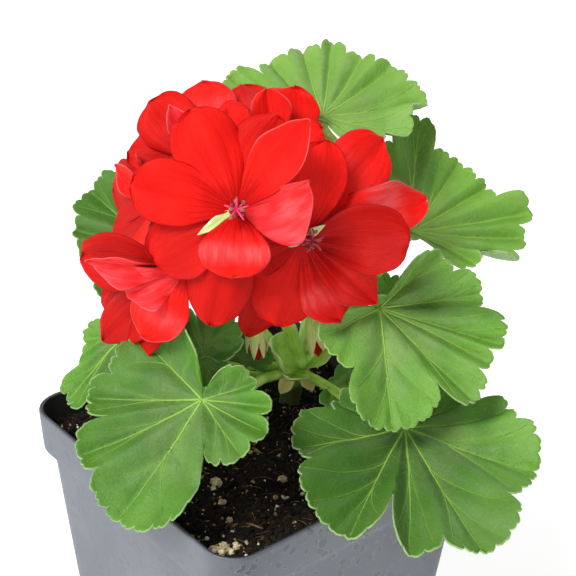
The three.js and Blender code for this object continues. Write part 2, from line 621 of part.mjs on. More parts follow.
// Group. The stem stands in its own hole in the soil
const group = new THREE.Group();
const inPot = (x, y, z) => (
  vec(x + PLANT_SHIFT[0], y + PLANT_SHIFT[1], z).applyAxisAngle(vec(0, 0, 1), rad(PLANT_TURN))
);
const stemSpot = inPot(...STEM_FOOT);
group.add(part("pot", pot(), POT_GREY), part("soil", soil(stemSpot.x, stemSpot.y), SOIL_BROWN));

const plant = new THREE.Group();
plant.position.copy(inPot(0, 0, POT_HEIGHT));
plant.rotation.z = rad(PLANT_TURN);
group.add(plant);

const stemBody = stems();
const stemClearance = stems(GAP).add(stemBody);
const clear = (name, body) => (CUT_BY[name] ?? []).reduce(
  (cut, other) => cut.subtract(floretBody(FLORETS[other], GAP)),
  body,
);
plant.add(part("stems", stemBody, STALK_GREEN));
for (const [leaves, material] of [[LEAVES, LEAF_GREEN], [YOUNG_LEAVES, YOUNG_GREEN]]) {
  for (const [name, leaf] of Object.entries(leaves)) {
    plant.add(part(name, largest(clear(name, leafBody(leaf).subtract(stemClearance))), material));
  }
}
plant.add(part("flower_stalk", largest(flowerStalk().subtract(stemClearance)), STALK_GREEN));
for (const [name, floret] of Object.entries(FLORETS)) {
  plant.add(part(name, largest(clear(name, floretBody(floret))), PETAL_RED));
}
for (const [name, bud] of Object.entries(BUDS)) {
  plant.add(part(name, budBody(bud), PETAL_RED));
}
for (const name of ["floret_front", "floret_right"]) {
  plant.add(part(`${name}_style`, styleBody(FLORETS[name]), STIGMA_PINK));
}

export default group;
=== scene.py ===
"""Zonal geranium in its square nursery pot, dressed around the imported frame.

The plant is described in millimetres in a frame of its own: x across the head, y from the open side of
the plant to its back, z up from the plane of the pot's rim. The pot and the soil are described in
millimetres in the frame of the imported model. Meshes are written in metres.
"""
import logging
import math
from collections.abc import Iterable
from dataclasses import dataclass, field
from enum import Enum
from functools import cached_property, reduce

import bmesh
import bpy
import numpy as np
from mathutils import Matrix
from mathutils.geometry import tessellate_polygon


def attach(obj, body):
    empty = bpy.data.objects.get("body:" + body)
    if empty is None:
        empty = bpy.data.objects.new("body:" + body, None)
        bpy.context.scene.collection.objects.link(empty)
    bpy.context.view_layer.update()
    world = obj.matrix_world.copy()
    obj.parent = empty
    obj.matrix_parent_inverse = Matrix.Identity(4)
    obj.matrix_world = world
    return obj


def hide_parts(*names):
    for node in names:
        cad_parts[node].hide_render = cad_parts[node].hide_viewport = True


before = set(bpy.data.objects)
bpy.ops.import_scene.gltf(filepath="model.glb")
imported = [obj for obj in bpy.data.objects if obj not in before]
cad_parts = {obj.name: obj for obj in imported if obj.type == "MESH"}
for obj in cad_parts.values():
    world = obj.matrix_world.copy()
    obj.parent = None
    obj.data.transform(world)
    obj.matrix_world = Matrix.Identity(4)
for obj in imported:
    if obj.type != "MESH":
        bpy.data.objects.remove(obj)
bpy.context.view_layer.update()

LOG = logging.getLogger("geranium")
Array = np.ndarray
Point = tuple[float, float, float]
Socket = bpy.types.NodeSocket
Amount = Socket | float
Colour = Socket | str
MM = 0.001
FLAT_SCALE = 0.01
BODY = "root"

PLANT_TURN = -40.9
PLANT_SHIFT = (-2.9, -3.0)
LEAF_THICKNESS = 0.46
PETAL_THICKNESS = 0.34
STEM_FOOT = (12.0, 26.0, -8.0)
STEM_HEAD = (14.0, 22.0, 7.0)
HUB = (3.0, 1.0, 52.0)


def tint(code: str) -> tuple[float, ...]:
    """Turns a colour code into a colour for a shader socket.

    Args:
        code: Hexadecimal sRGB code.

    Returns:
        Linear red, green and blue, and an alpha of 1.
    """
    parts = [int(code[i:i + 2], 16) / 255 for i in (0, 2, 4)]
    linear = [p / 12.92 if p <= 0.04045 else ((p + 0.055) / 1.055) ** 2.4 for p in parts]
    return (*linear, 1.0)


def unit(vector: Array) -> Array:
    """The vector or row of vectors at length 1."""
    return vector / np.maximum(np.linalg.norm(vector, axis=-1, keepdims=True), 1e-12)


def left_of(way: Array) -> Array:
    """The level vector or row of vectors turned a quarter to its left."""
    return np.stack([-way[..., 1], way[..., 0]], -1)


def spoke(degrees: float) -> Array:
    """Level direction, in degrees round from x towards y."""
    return np.array([math.cos(math.radians(degrees)), math.sin(math.radians(degrees)), 0.0])


def arch(start: Array, middle: Array, end: Array, count: int) -> Array:
    """Points of a plain curve from start to end that is drawn towards the middle point."""
    t = np.linspace(0, 1, count)[:, None]
    return (1 - t) ** 2 * start + 2 * t * (1 - t) * middle + t ** 2 * end


def heading(degrees: float) -> Array:
    """Level direction, in degrees round from the open side of the plant, right positive."""
    turn = math.radians(degrees)
    return np.array([math.sin(turn), -math.cos(turn), 0.0])


def leaning(tilt: float, facing: float) -> Array:
    """Direction that leans by tilt degrees from upright towards a heading."""
    lean = math.radians(tilt)
    return heading(facing) * math.sin(lean) + np.array([0.0, 0.0, math.cos(lean)])


def bump_field(x: Array, y: Array, cell: float, seed: int) -> Array:
    """Smooth random heights from -1 to 1.

    Args:
        x: First coordinate of each place.
        y: Second coordinate of each place.
        cell: Width of a bump, in the unit of x and y.
        seed: Seed of the random lattice.

    Returns:
        The height at each place.
    """
    lattice = np.random.default_rng(seed).uniform(-1, 1, (64, 64))
    u, v = np.asarray(x) / cell, np.asarray(y) / cell
    i, j = np.floor(u).astype(int), np.floor(v).astype(int)
    f, g = u - i, v - j
    f, g = f * f * (3 - 2 * f), g * g * (3 - 2 * g)
    near = lattice[i % 64, j % 64] * (1 - f) + lattice[(i + 1) % 64, j % 64] * f
    far = lattice[i % 64, (j + 1) % 64] * (1 - f) + lattice[(i + 1) % 64, (j + 1) % 64] * f
    return near * (1 - g) + far * g


@dataclass(frozen=True)
class Placement:
    """The frame of a piece: its axes as rows, and its origin, in millimetres."""

    axes: Array
    origin: Array

    @classmethod
    def of_blade(cls, at: Point, tilt: float, facing: float, points: float) -> "Placement":
        """Frame of a leaf blade: x along its midrib, z out of its upper face.

        Args:
            at: Head of the leaf's stalk.
            tilt: Lean of the upper face from level, in degrees.
            facing: Heading the upper face leans to.
            points: Heading of the midrib.

        Returns:
            The frame.
        """
        normal = leaning(tilt, facing)
        midrib = heading(points)
        midrib[2] = -(normal[0] * midrib[0] + normal[1] * midrib[1]) / normal[2]
        midrib = unit(midrib)
        return cls(np.array([midrib, np.cross(normal, midrib), normal]), np.array(at, float))

    @classmethod
    def of_face(cls, at: Point, tilt: float, facing: float) -> "Placement":
        """Frame of a floret or a bud: z out of its face, y the way up in the face.

        Args:
            at: Middle of the face.
            tilt: Lean of the face from level, in degrees.
            facing: Heading that it leans to.

        Returns:
            The frame.
        """
        normal = leaning(tilt, facing)
        rise = unit(np.array([0.0, 0.0, 1.0]) - normal * normal[2])
        return cls(np.array([np.cross(rise, normal), rise, normal]), np.array(at, float))

    @classmethod
    def of_plant(cls) -> "Placement":
        """Frame of the whole plant, turned and shifted in the pot.

        Returns:
            The frame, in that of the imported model.
        """
        turn = math.radians(PLANT_TURN)
        cos, sin = math.cos(turn), math.sin(turn)
        axes = np.array([[cos, sin, 0], [-sin, cos, 0], [0, 0, 1]])
        return cls(axes, np.array([*PLANT_SHIFT, 0.0]) @ axes + np.array([0, 0, PotSize().height]))

    def place(self, points: Array) -> Array:
        """Points of this frame, seen from outside it."""
        return np.asarray(points, float) @ self.axes + self.origin

    def along(self, z: float) -> "Placement":
        """The same frame moved along its own z axis."""
        return Placement(self.axes, self.spot(z))

    def spot(self, z: float) -> Array:
        """A point on the frame's z axis."""
        return self.origin + z * self.axes[2]


@dataclass
class Shape:
    """A mesh in the making: points in millimetres, faces, values at the points and flat coordinates."""

    points: Array
    faces: list[Array]
    marks: dict[str, Array] = field(default_factory=dict)
    flat: Array | None = None

    def marked(self, **marks: float | Array) -> "Shape":
        """Gives every point a value for each name.

        Args:
            **marks: For each name one number, or one for each point.

        Returns:
            The same shape.
        """
        for name, value in marks.items():
            self.marks[name] = np.broadcast_to(np.asarray(value, float), (len(self.points),)).copy()
        return self

    def placed(self, placement: Placement) -> "Shape":
        """The shape moved into the frame that the placement lies in."""
        return Shape(placement.place(self.points), self.faces, self.marks, self.flat)

    def normals(self) -> Array:
        """Outward direction at each point, the mean of the faces round it by area.

        Returns:
            A row for each point.
        """
        total = np.zeros_like(self.points)
        for faces in self.faces:
            corners = self.points[faces]
            across = np.cross(corners[:, 2] - corners[:, 0], corners[:, -1] - corners[:, 1])
            for k in range(faces.shape[1]):
                np.add.at(total, faces[:, k], across)
        return unit(total)

    def open_edges(self) -> Array:
        """Finds the edges that only one face has.

        Returns:
            The two points of each, in the order of that face.
        """
        ends = [pair for faces in self.faces
                for pair in np.stack([faces, np.roll(faces, -1, 1)], 2).reshape(-1, 2).tolist()]
        there = {tuple(pair) for pair in ends}
        return np.array([pair for pair in ends if (pair[1], pair[0]) not in there])

    def sheet(self, thickness: float | Array) -> "Shape":
        """The surface given a thickness, split alike on both faces.

        Args:
            thickness: Thickness in millimetres, one number or one for each point.

        Returns:
            A closed shape whose mark under is 1 on the lower face.
        """
        half = np.broadcast_to(np.asarray(thickness, float), (len(self.points),))[:, None] / 2
        out = self.normals() * half
        count = len(self.points)
        rim = self.open_edges()
        a, b = rim[:, 0], rim[:, 1]
        faces = [*self.faces, *[f[:, ::-1] + count for f in self.faces],
                 np.stack([b, a, a + count, b + count], 1)]
        marks = {name: np.tile(values, 2) for name, values in self.marks.items()}
        marks["under"] = np.repeat([0.0, 1.0], count)
        flat = None if self.flat is None else np.tile(self.flat, (2, 1))
        return Shape(np.concatenate([self.points + out, self.points - out]), faces, marks, flat)

    @staticmethod
    def joined(shapes: Iterable["Shape"]) -> "Shape":
        """Joins shapes into one.

        Args:
            shapes: The shapes.

        Returns:
            One shape; a mark that a shape lacks is 0 there.
        """
        shapes = list(shapes)
        names = sorted({name for shape in shapes for name in shape.marks})
        starts = np.cumsum([0] + [len(shape.points) for shape in shapes])
        faces = [f + start for shape, start in zip(shapes, starts) for f in shape.faces]
        marks = {name: np.concatenate([s.marks.get(name, np.zeros(len(s.points))) for s in shapes])
                 for name in names}
        flat = np.concatenate([np.zeros((len(s.points), 2)) if s.flat is None else s.flat for s in shapes])
        return Shape(np.concatenate([shape.points for shape in shapes]), faces, marks, flat)


def grid_faces(rows: int, columns: int, wrap: bool = False) -> Array:
    """Quads of a grid of points that is laid row by row.

    Args:
        rows: Number of rows.
        columns: Points in a row.
        wrap: Whether each row closes on itself.

    Returns:
        The four points of each face.
    """
    r, c = np.meshgrid(np.arange(rows - 1), np.arange(columns if wrap else columns - 1), indexing="ij")
    a, b = r * columns + c, r * columns + (c + 1) % columns
    return np.stack([a, b, b + columns, a + columns], -1).reshape(-1, 4)


def lofted(rings: Array) -> Shape:
    """A closed body through rings of points.

    Args:
        rings: The points, by ring; every ring has as many.

    Returns:
        The body, with a fan over each end and the mark along from 0 to 1.
    """
    rows, count = rings.shape[:2]
    points = np.concatenate([rings.reshape(-1, 3), [rings[0].mean(0)], [rings[-1].mean(0)]])
    i = np.arange(count)
    j = (i + 1) % count
    start = np.stack([np.full(count, rows * count), j, i], 1)
    end = np.stack([np.full(count, rows * count + 1), (rows - 1) * count + i, (rows - 1) * count + j], 1)
    shape = Shape(points, [grid_faces(rows, count, wrap=True), start, end])
    along = np.repeat(np.linspace(0, 1, rows), count)
    return shape.marked(along=np.concatenate([along, [0, 1]]))


def evenly(line: Array, count: int, closed: bool = False) -> Array:
    """Spaces points evenly along a line.

    Args:
        line: Points of the line; a closed one ends with its first point.
        count: Number of points wanted.
        closed: Whether the end is left out, because it is the start.

    Returns:
        The evenly spaced points.
    """
    length = np.concatenate([[0], np.cumsum(np.linalg.norm(np.diff(line, axis=0), axis=1))])
    even = np.linspace(0, length[-1], count, endpoint=not closed)
    return np.stack([np.interp(even, length, values) for values in line.T], 1)


def curve_through(route: Array, steps: int) -> Array:
    """Points at even spacing on a centripetal Catmull-Rom curve.

    Args:
        route: The points that the curve goes through.
        steps: Number of equal steps along it.

    Returns:
        steps + 1 points.
    """
    route = np.asarray(route, float)
    ends = np.concatenate([[2 * route[0] - route[1]], route, [2 * route[-1] - route[-2]]])
    t = np.linspace(0, 1, 24, endpoint=False)[:, None]
    pieces = []
    for p0, p1, p2, p3 in zip(ends, ends[1:], ends[2:], ends[3:]):
        d0, d1, d2 = (max(np.linalg.norm(b - a), 1e-6) ** 0.5 for a, b in ((p0, p1), (p1, p2), (p2, p3)))
        go = ((p1 - p0) / d0 - (p2 - p0) / (d0 + d1) + (p2 - p1) / d1) * d1
        come = ((p2 - p1) / d1 - (p3 - p1) / (d1 + d2) + (p3 - p2) / d2) * d1
        pieces.append(p1 + go * t + (-3 * p1 + 3 * p2 - 2 * go - come) * t ** 2
                      + (2 * p1 - 2 * p2 + go + come) * t ** 3)
    return evenly(np.concatenate([*pieces, [route[-1]]]), steps + 1)


def tube(route: Array, radii: tuple[float, float], sides: int = 12, steps: int = 24,
         swell: tuple[float, float] = (0, 0), flute: float = 0.0) -> Shape:
    """A stalk along a smooth curve.

    Args:
        route: The points that its middle goes through.
        radii: Radius at its start and at its end.
        sides: Points round it.
        steps: Rings along it.
        swell: How much its start and its end swell, as a share of the radius.
        flute: Depth of the shallow grooves along it, as a share of the radius.

    Returns:
        The closed stalk, with the marks along and around.
    """
    spine = curve_through(route, steps)
    forward = unit(np.gradient(spine, axis=0))
    side = unit(np.cross(forward[0], [0.3, 0.2, 0.9]))
    t = np.linspace(0, 1, steps + 1)
    radius = radii[0] + (radii[1] - radii[0]) * t
    radius = radius * (1 + swell[0] * np.exp(-(t / 0.06) ** 2) + swell[1] * np.exp(-((1 - t) / 0.06) ** 2))
    turn = 2 * np.pi * np.arange(sides) / sides
    rings = []
    for at, way, r in zip(spine, forward, radius):
        side = unit(side - way * np.dot(side, way))
        other = np.cross(way, side)
        ribbed = (r * (1 + flute * np.cos(5 * turn)))[:, None]
        rings.append(at + ribbed * (np.cos(turn)[:, None] * side + np.sin(turn)[:, None] * other))
    shape = lofted(np.array(rings))
    around = np.concatenate([np.tile(np.arange(sides) / sides, steps + 1), [0, 0]])
    return shape.marked(around=around)


def turned(rings: Iterable[tuple[float, float]], sides: int = 16, lobes: int = 0, depth: float = 0.0,
           twist: float = 0.0) -> Shape:
    """A round body along z from rings of (radius, z), with grooves that may wind round it.

    Args:
        rings: Radius and height of each ring.
        sides: Points round it.
        lobes: Number of ridges round it.
        depth: Height of the ridges as a share of the radius.
        twist: Turn of the ridges, in radians for each millimetre along z.

    Returns:
        The closed body.
    """
    turn = 2 * np.pi * np.arange(sides) / sides
    built = []
    for radius, z in rings:
        r = radius * (1 + depth * np.cos(lobes * (turn + twist * z)))
        built.append(np.stack([r * np.cos(turn), r * np.sin(turn), np.full(sides, z)], 1))
    return lofted(np.array(built))


class Graph:
    """A node tree for a material or for Geometry Nodes, added to node by node."""

    def __init__(self, tree: bpy.types.NodeTree) -> None:
        """Takes an empty tree."""
        self.tree = tree

    def add(self, kind: str, inputs: dict | None = None, out: int | str = 0, **settings) -> Socket | None:
        """Adds a node.

        Args:
            kind: Blender's name of the node's type.
            inputs: A socket to join or a value to set, by the input's name or number.
            out: Name or number of the output that is given back.
            **settings: The node's own settings.

        Returns:
            The chosen output, or None for a node that has no output.
        """
        node = self.tree.nodes.new(kind)
        for key, value in settings.items():
            setattr(node, key, value)
        for key, value in (inputs or {}).items():
            if isinstance(value, Socket):
                self.tree.links.new(value, node.inputs[key])
            else:
                node.inputs[key].default_value = value
        return node.outputs[out] if node.outputs else None

    def mark(self, name: str) -> Socket:
        """The value kept at the mesh's points under a name."""
        return self.add("ShaderNodeAttribute", out="Fac", attribute_name=name)

    def math(self, operation: str, a: Amount, b: Amount = 0.0) -> Socket:
        """One sum of two numbers."""
        return self.add("ShaderNodeMath", {0: a, 1: b}, operation=operation)

    def times(self, *factors: Amount) -> Socket:
        """Product of the factors, from the left."""
        return reduce(lambda a, b: self.math("MULTIPLY", a, b), factors)

    def total(self, *terms: Amount) -> Socket:
        """Sum of the terms, from the left."""
        return reduce(lambda a, b: self.math("ADD", a, b), terms)

    def mix(self, amount: Amount, low: Colour, high: Colour) -> Socket:
        """A colour between low and high, by amount from 0 to 1."""
        low, high = (tint(end) if isinstance(end, str) else end for end in (low, high))
        return self.add("ShaderNodeMix", {0: amount, 6: low, 7: high}, 2, data_type="RGBA")

    def coats(self, ground: Colour, *coats: tuple[Amount, Colour]) -> Socket:
        """The ground colour with coats over it, each an amount and its colour, the last on top."""
        return reduce(lambda below, coat: self.mix(coat[0], below, coat[1]), coats, ground)

    def ramp(self, value: Socket, start: float, end: float, low: float = 0.0, high: float = 1.0) -> Socket:
        """A smooth step from low to high while value goes from start to end."""
        ends = {"From Min": start, "From Max": end, "To Min": low, "To Max": high}
        return self.add("ShaderNodeMapRange", {"Value": value, **ends}, interpolation_type="SMOOTHSTEP")

    def place(self) -> Socket:
        """Object coordinates, in metres."""
        return self.add("ShaderNodeTexCoord", out="Object")

    def flat(self, stretch: tuple[float, float] = (1, 1)) -> Socket:
        """The piece's flat coordinates, in decimetres, stretched."""
        raw = self.add("ShaderNodeUVMap", out="UV", uv_map="flat")
        return self.add("ShaderNodeMapping", {"Vector": raw, "Scale": (*stretch, 1)})

    def noise(self, vector: Socket, scale: float, detail: float = 3.0, rough: float = 0.55) -> Socket:
        """Cloudy values from 0 to 1."""
        return self.add("ShaderNodeTexNoise", {"Vector": vector, "Scale": scale, "Detail": detail,
                                               "Roughness": rough}, "Fac")

    def patches(self, vector: Socket, scale: float, start: float, end: float, *, detail: float = 3.0,
                rough: float = 0.55, low: float = 0.0, high: float = 1.0) -> Socket:
        """Soft patches: noise that rises from low to high while it goes from start to end."""
        return self.ramp(self.noise(vector, scale, detail, rough), start, end, low, high)


class Finish:
    """What the finishes share: a material of one principled shader."""

    name = "finish"

    def build(self) -> bpy.types.Material:
        """Builds the material.

        Returns:
            The finished material.
        """
        material = bpy.data.materials.new(self.name)
        material.use_nodes = True
        material.node_tree.nodes.clear()
        graph = Graph(material.node_tree)
        inputs = self.shade(graph)
        height = inputs.pop("height", None)
        if height is not None:
            inputs["Normal"] = graph.add("ShaderNodeBump", {"Height": height, "Strength": 1.0,
                                                            "Distance": inputs.pop("depth")})
        shader = graph.add("ShaderNodeBsdfPrincipled", inputs)
        graph.add("ShaderNodeOutputMaterial", {"Surface": shader})
        return material

    def shade(self, graph: Graph) -> dict:
        """The shader's inputs; height and depth, in metres, make its relief."""
        raise NotImplementedError

    @staticmethod
    def sheen(weight: float, roughness: float, colour: str) -> dict:
        """The shader's inputs for a bloom of short hairs."""
        return {"Sheen Weight": weight, "Sheen Roughness": roughness, "Sheen Tint": tint(colour)}


@dataclass(frozen=True)
class LeafFinish(Finish):
    """A hairy leaf: soft green with a duller zone, yellow-green veins, a greyer lower face, and painted light
    and shade.
    """

    name: str = "leaf_green"
    dark: str = "37731e"
    light: str = "4a8425"
    outer: str = "6ca230"
    zone: str = "6a8244"
    bloom: str = "84a45e"
    vein: str = "9cc455"
    halo: str = "7db03c"
    fuzz: str = "b2d08c"
    mottle: str = "3f7420"
    # bright and shaded: the painted light and painted shade that the mark tone lays on a leaf
    bright: str = "93bf55"
    shaded: str = "235008"
    margin: str = "b2cf85"
    lower: str = "8aac6e"
    lower_net: str = "abc98c"
    haze: str = "d6eeb4"
    roughness: float = 0.55
    net_scale: float = 64.0
    depth: float = 0.00022

    def shade(self, graph: Graph) -> dict:
        """Lays the greens over each other; the mark tone paints light and shade on leaves, partly their own
        lighter and darker greens.

        Args:
            graph: The material's tree.

        Returns:
            The shader's inputs.
        """
        place, reach, tone = graph.place(), graph.mark("reach"), graph.mark("tone")
        cells = graph.add("ShaderNodeTexVoronoi", {"Vector": graph.flat(), "Scale": self.net_scale},
                          "Distance", feature="DISTANCE_TO_EDGE")
        net, fuzz = graph.ramp(cells, 0.09, 0.0), graph.noise(place, 2600, 2)
        zone = graph.times(graph.ramp(reach, 0.05, 0.25), graph.ramp(reach, 0.72, 0.42),
                           graph.patches(place, 120, 0.25, 0.6, detail=2, low=0.3, high=0.62))
        halo = graph.times(graph.mark("beside"), graph.ramp(reach, 1.0, 0.2, 0.15, 0.5))
        below = graph.mix(graph.ramp(cells, 0.06, 0.0, high=0.4), self.lower, self.lower_net)
        colour = graph.coats(
            graph.mix(graph.patches(place, 55, 0.36, 0.66), self.dark, self.light),
            (graph.ramp(reach, 0.45, 1.0, high=0.6), self.outer),
            (zone, self.zone),
            (graph.patches(place, 38, 0.42, 0.7, rough=0.6, high=0.5), self.bloom),
            (graph.ramp(reach, 0.14, 0.0, high=0.5), self.vein),
            (graph.times(net, 0.04), self.vein),
            (halo, self.halo),
            (graph.ramp(fuzz, 0.5, 0.8, high=0.24), self.fuzz),
            (graph.patches(place, 900, 0.5, 0.75, rough=0.7, high=0.3), self.mottle),
            # painted light and painted shade by the mark tone, partly the leaves' own lighter and darker
            # green
            (graph.ramp(tone, 0.0, 1.0, high=0.45), self.bright),
            (graph.ramp(tone, 0.0, -1.0, high=0.6), self.shaded),
            (graph.ramp(graph.mark("edge"), 0.3, 0.0, high=0.5), self.margin),
            (graph.mark("under"), below),
            (graph.times(graph.mark("vein"), 0.76), self.vein))
        height = graph.total(graph.times(fuzz, 0.35), graph.times(net, -0.1),
                             graph.times(graph.noise(place, 620, 2), 1.1))
        return {"Base Color": colour, "Roughness": self.roughness, "Specular IOR Level": 0.3,
                **self.sheen(0.06, 0.4, self.haze), "height": height, "depth": self.depth}


@dataclass(frozen=True)
class StalkFinish(Finish):
    """Stalks, bracts and sepals: light green, streaked along, cream at thin edges."""

    name: str = "stalk_green"
    dark: str = "8fc93a"
    light: str = "c6ec72"
    stripe: str = "c8e27e"
    dry: str = "dcc468"
    # wood: the near-black brown of the stem's base, partly old wood, partly painted shade
    wood: str = "2b2214"
    edge: str = "dfe6b0"
    haze: str = "e6f6b8"
    roughness: float = 0.5
    stripe_turns: float = 62.8
    depth: float = 0.00012

    def shade(self, graph: Graph) -> dict:
        """Streaks along the piece, blotches, and the marks dry, wood and pale over them; wood is brown wood
        and painted shade.

        Args:
            graph: The material's tree.

        Returns:
            The shader's inputs.
        """
        place = graph.place()
        stripes = graph.math("SINE", graph.times(graph.mark("around"), self.stripe_turns))
        colour = graph.coats(
            graph.mix(graph.patches(place, 160, 0.35, 0.68), self.dark, self.light),
            (graph.ramp(stripes, 0.1, 1.0, high=0.25), self.stripe),
            (graph.ramp(graph.mark("dry"), 0, 1), self.dry),
            # painted shade: the stem's base near black, partly the brown of old wood
            (graph.mark("wood"), self.wood),
            (graph.mark("pale"), self.edge))
        height = graph.total(graph.noise(place, 1500, 2), graph.times(stripes, 0.2))
        return {"Base Color": colour, "Roughness": self.roughness, "Specular IOR Level": 0.4,
                **self.sheen(0.1, 0.5, self.haze), "height": height, "depth": self.depth}


@dataclass(frozen=True)
class PetalFinish(Finish):
    """Scarlet petals: darker veins towards the claw, a pinker lower face, painted shade, and painted
    highlights on folded rims and bends.
    """

    name: str = "petal_red"
    red: str = "f91e15"
    soft: str = "d4130e"
    streak: str = "cf110e"
    # deep: the dark red of the painted shade, partly the petals' own deeper red
    deep: str = "960906"
    claw: str = "a90a09"
    vein: str = "70060c"
    lower: str = "e82024"
    silk: str = "f0474d"
    lower_claw: str = "c2202a"
    # satin: the pale pink of the painted highlight where petals bend
    satin: str = "f5686c"
    border: str = "8c0c11"
    # rim: the pale pink of the painted highlight along folded edges
    rim: str = "f47a7c"
    haze: str = "ff8a80"
    roughness: float = 0.4
    vein_turns: float = 13.0
    depth: float = 0.0002

    def shade(self, graph: Graph) -> dict:
        """Red clouded and streaked along the petal, veins at its claw, lower face, painted shade, and painted
        highlights on the rim and the bend.

        Args:
            graph: The material's tree.

        Returns:
            The shader's inputs.
        """
        along, edge, deep = graph.mark("along"), graph.mark("edge"), graph.mark("deep")
        claw = graph.ramp(along, 0.5, 0.02)
        fan = graph.math("ABSOLUTE", graph.math("SINE", graph.times(graph.mark("across"), self.vein_turns)))
        satin = graph.patches(graph.flat((0.6, 3)), 24, 0.34, 0.72, detail=2)
        silk = graph.coats(graph.mix(satin, self.lower, self.silk), (graph.times(claw, 0.6), self.lower_claw))
        # painted highlight: a pale satin band across the petal where it bends, by the mark crest
        band = graph.times(graph.ramp(along, 0.42, 0.6), graph.ramp(along, 0.86, 0.62), graph.mark("crest"),
                           graph.ramp(satin, 0, 1, 0.4, 1))
        # painted highlight: pale pink along the outer edges of folded petals, where light catches them
        pale = graph.times(graph.ramp(edge, 0.4, 0.05), graph.ramp(along, 0.35, 0.8), graph.mark("rim"))
        wash = graph.patches(graph.place(), 85, 0.34, 0.68, detail=2)
        streaks = graph.patches(graph.flat((0.5, 9)), 40, 0.4, 0.72, rough=0.6)
        colour = graph.coats(
            graph.mix(graph.times(wash, 0.75), self.red, self.soft),
            (graph.times(streaks, 0.4), self.streak),
            # painted shade: the mark deep darkens petals that lie in shade, and their claws more
            (graph.times(deep, 0.85), self.deep),
            (graph.times(claw, graph.ramp(deep, 0, 1, 0.6, 0.95)), self.claw),
            (graph.times(graph.ramp(fan, 0.34, 0.0), graph.ramp(along, 0.62, 0.1), 0.7), self.vein),
            # the lower face's pink; petals marked over show it on the upper face as a painted sheen
            (graph.times(graph.mark("under"), 0.85), silk),
            (band, self.satin),
            (graph.ramp(edge, 0.45, 0.05, high=0.6), self.border),
            (pale, self.rim))
        height = graph.total(graph.noise(graph.flat((1, 9)), 55, 3), graph.times(fan, 0.3))
        return {"Base Color": colour, "Roughness": self.roughness, "Specular IOR Level": 0.09,
                **self.sheen(0.02, 0.3, self.haze), "height": height, "depth": self.depth}


@dataclass(frozen=True)
class StyleFinish(Finish):
    """The crimson style and the brown anthers."""

    name: str = "stigma_pink"
    dark: str = "c81446"
    light: str = "ee4f7d"
    brown: str = "5e2a1c"
    cream: str = "e8c9a4"
    roughness: float = 0.45

    def shade(self, graph: Graph) -> dict:
        """Crimson, brown where the mark dry is 1 and cream where pale is 1.

        Args:
            graph: The material's tree.

        Returns:
            The shader's inputs.
        """
        colour = graph.coats(graph.mix(graph.noise(graph.place(), 900, 2), self.dark, self.light),
                             (graph.mark("dry"), self.brown), (graph.mark("pale"), self.cream))
        return {"Base Color": colour, "Roughness": self.roughness, "Specular IOR Level": 0.4}


@dataclass(frozen=True)
class PotFinish(Finish):
    """Thin matt plastic, blue-grey outside with scuffs and dried drops, black inside, and painted shade on
    the face towards -y.
    """

    name: str = "pot_grey"
    dark: str = "5b6067"
    light: str = "686d76"
    scuff: str = "55585e"
    speck: str = "3b3e44"
    damp_and_shade: str = "4a4d54"
    # damp_and_shade: the darker grey of the face towards -y, partly damp plastic, partly painted shade
    drop: str = "35383e"
    drop_rim: str = "9a9da3"
    inside: str = "121316"
    damp_and_shade_from: float = -0.034
    damp_and_shade_to: float = -0.043
    drop_scale: float = 290.0
    depth: float = 0.00005

    def shade(self, graph: Graph) -> dict:
        """Clouded grey, specks and dried drops, most on the face towards -y, painted shade on that face, and
        the black inside.

        Args:
            graph: The material's tree.

        Returns:
            The shader's inputs.
        """
        place = graph.place()
        depthwise = graph.add("ShaderNodeSeparateXYZ", {0: place}, "Y")
        # the face towards -y: the specks and drops gather there, and painted shade darkens it
        damp_and_shade = graph.ramp(depthwise, self.damp_and_shade_from, self.damp_and_shade_to, 0.22, 1.0)
        drift = graph.add("ShaderNodeTexNoise", {"Vector": place, "Scale": 420.0, "Detail": 2.0}, "Color")
        moved = graph.add("ShaderNodeVectorMath", {0: drift, 1: (0.003, 0.003, 0.003), 2: place},
                          operation="MULTIPLY_ADD")
        drops = graph.add("ShaderNodeTexVoronoi", {"Vector": moved, "Scale": self.drop_scale}, "Distance")
        wet = graph.patches(place, 75, 0.37, 0.49, detail=2)
        spots = graph.times(graph.ramp(drops, 0.36, 0.27), wet)
        rings = graph.times(graph.ramp(drops, 0.40, 0.36), graph.ramp(drops, 0.30, 0.34), wet, damp_and_shade, 0.22)
        colour = graph.coats(
            graph.mix(graph.patches(place, 26, 0.3, 0.7, detail=4), self.dark, self.light),
            (graph.patches(place, 340, 0.42, 0.78, detail=4, rough=0.7, high=0.35), self.scuff),
            (graph.times(damp_and_shade, 0.6, graph.patches(place, 900, 0.62, 0.72, rough=0.7)), self.speck),
            # painted shade: the face towards -y made darker as a whole, partly damp plastic
            (graph.times(damp_and_shade, 0.3), self.damp_and_shade),
            (graph.times(damp_and_shade, 0.7, spots), self.drop),
            (rings, self.drop_rim),
            (graph.mark("inside"), self.inside))
        gloss = graph.ramp(graph.times(spots, damp_and_shade), 0, 1, 0.5, 0.3)
        height = graph.total(graph.noise(place, 1900, 2), graph.times(spots, 0.8))
        return {"Base Color": colour, "Roughness": gloss, "Specular IOR Level": 0.45,
                "height": height, "depth": self.depth}


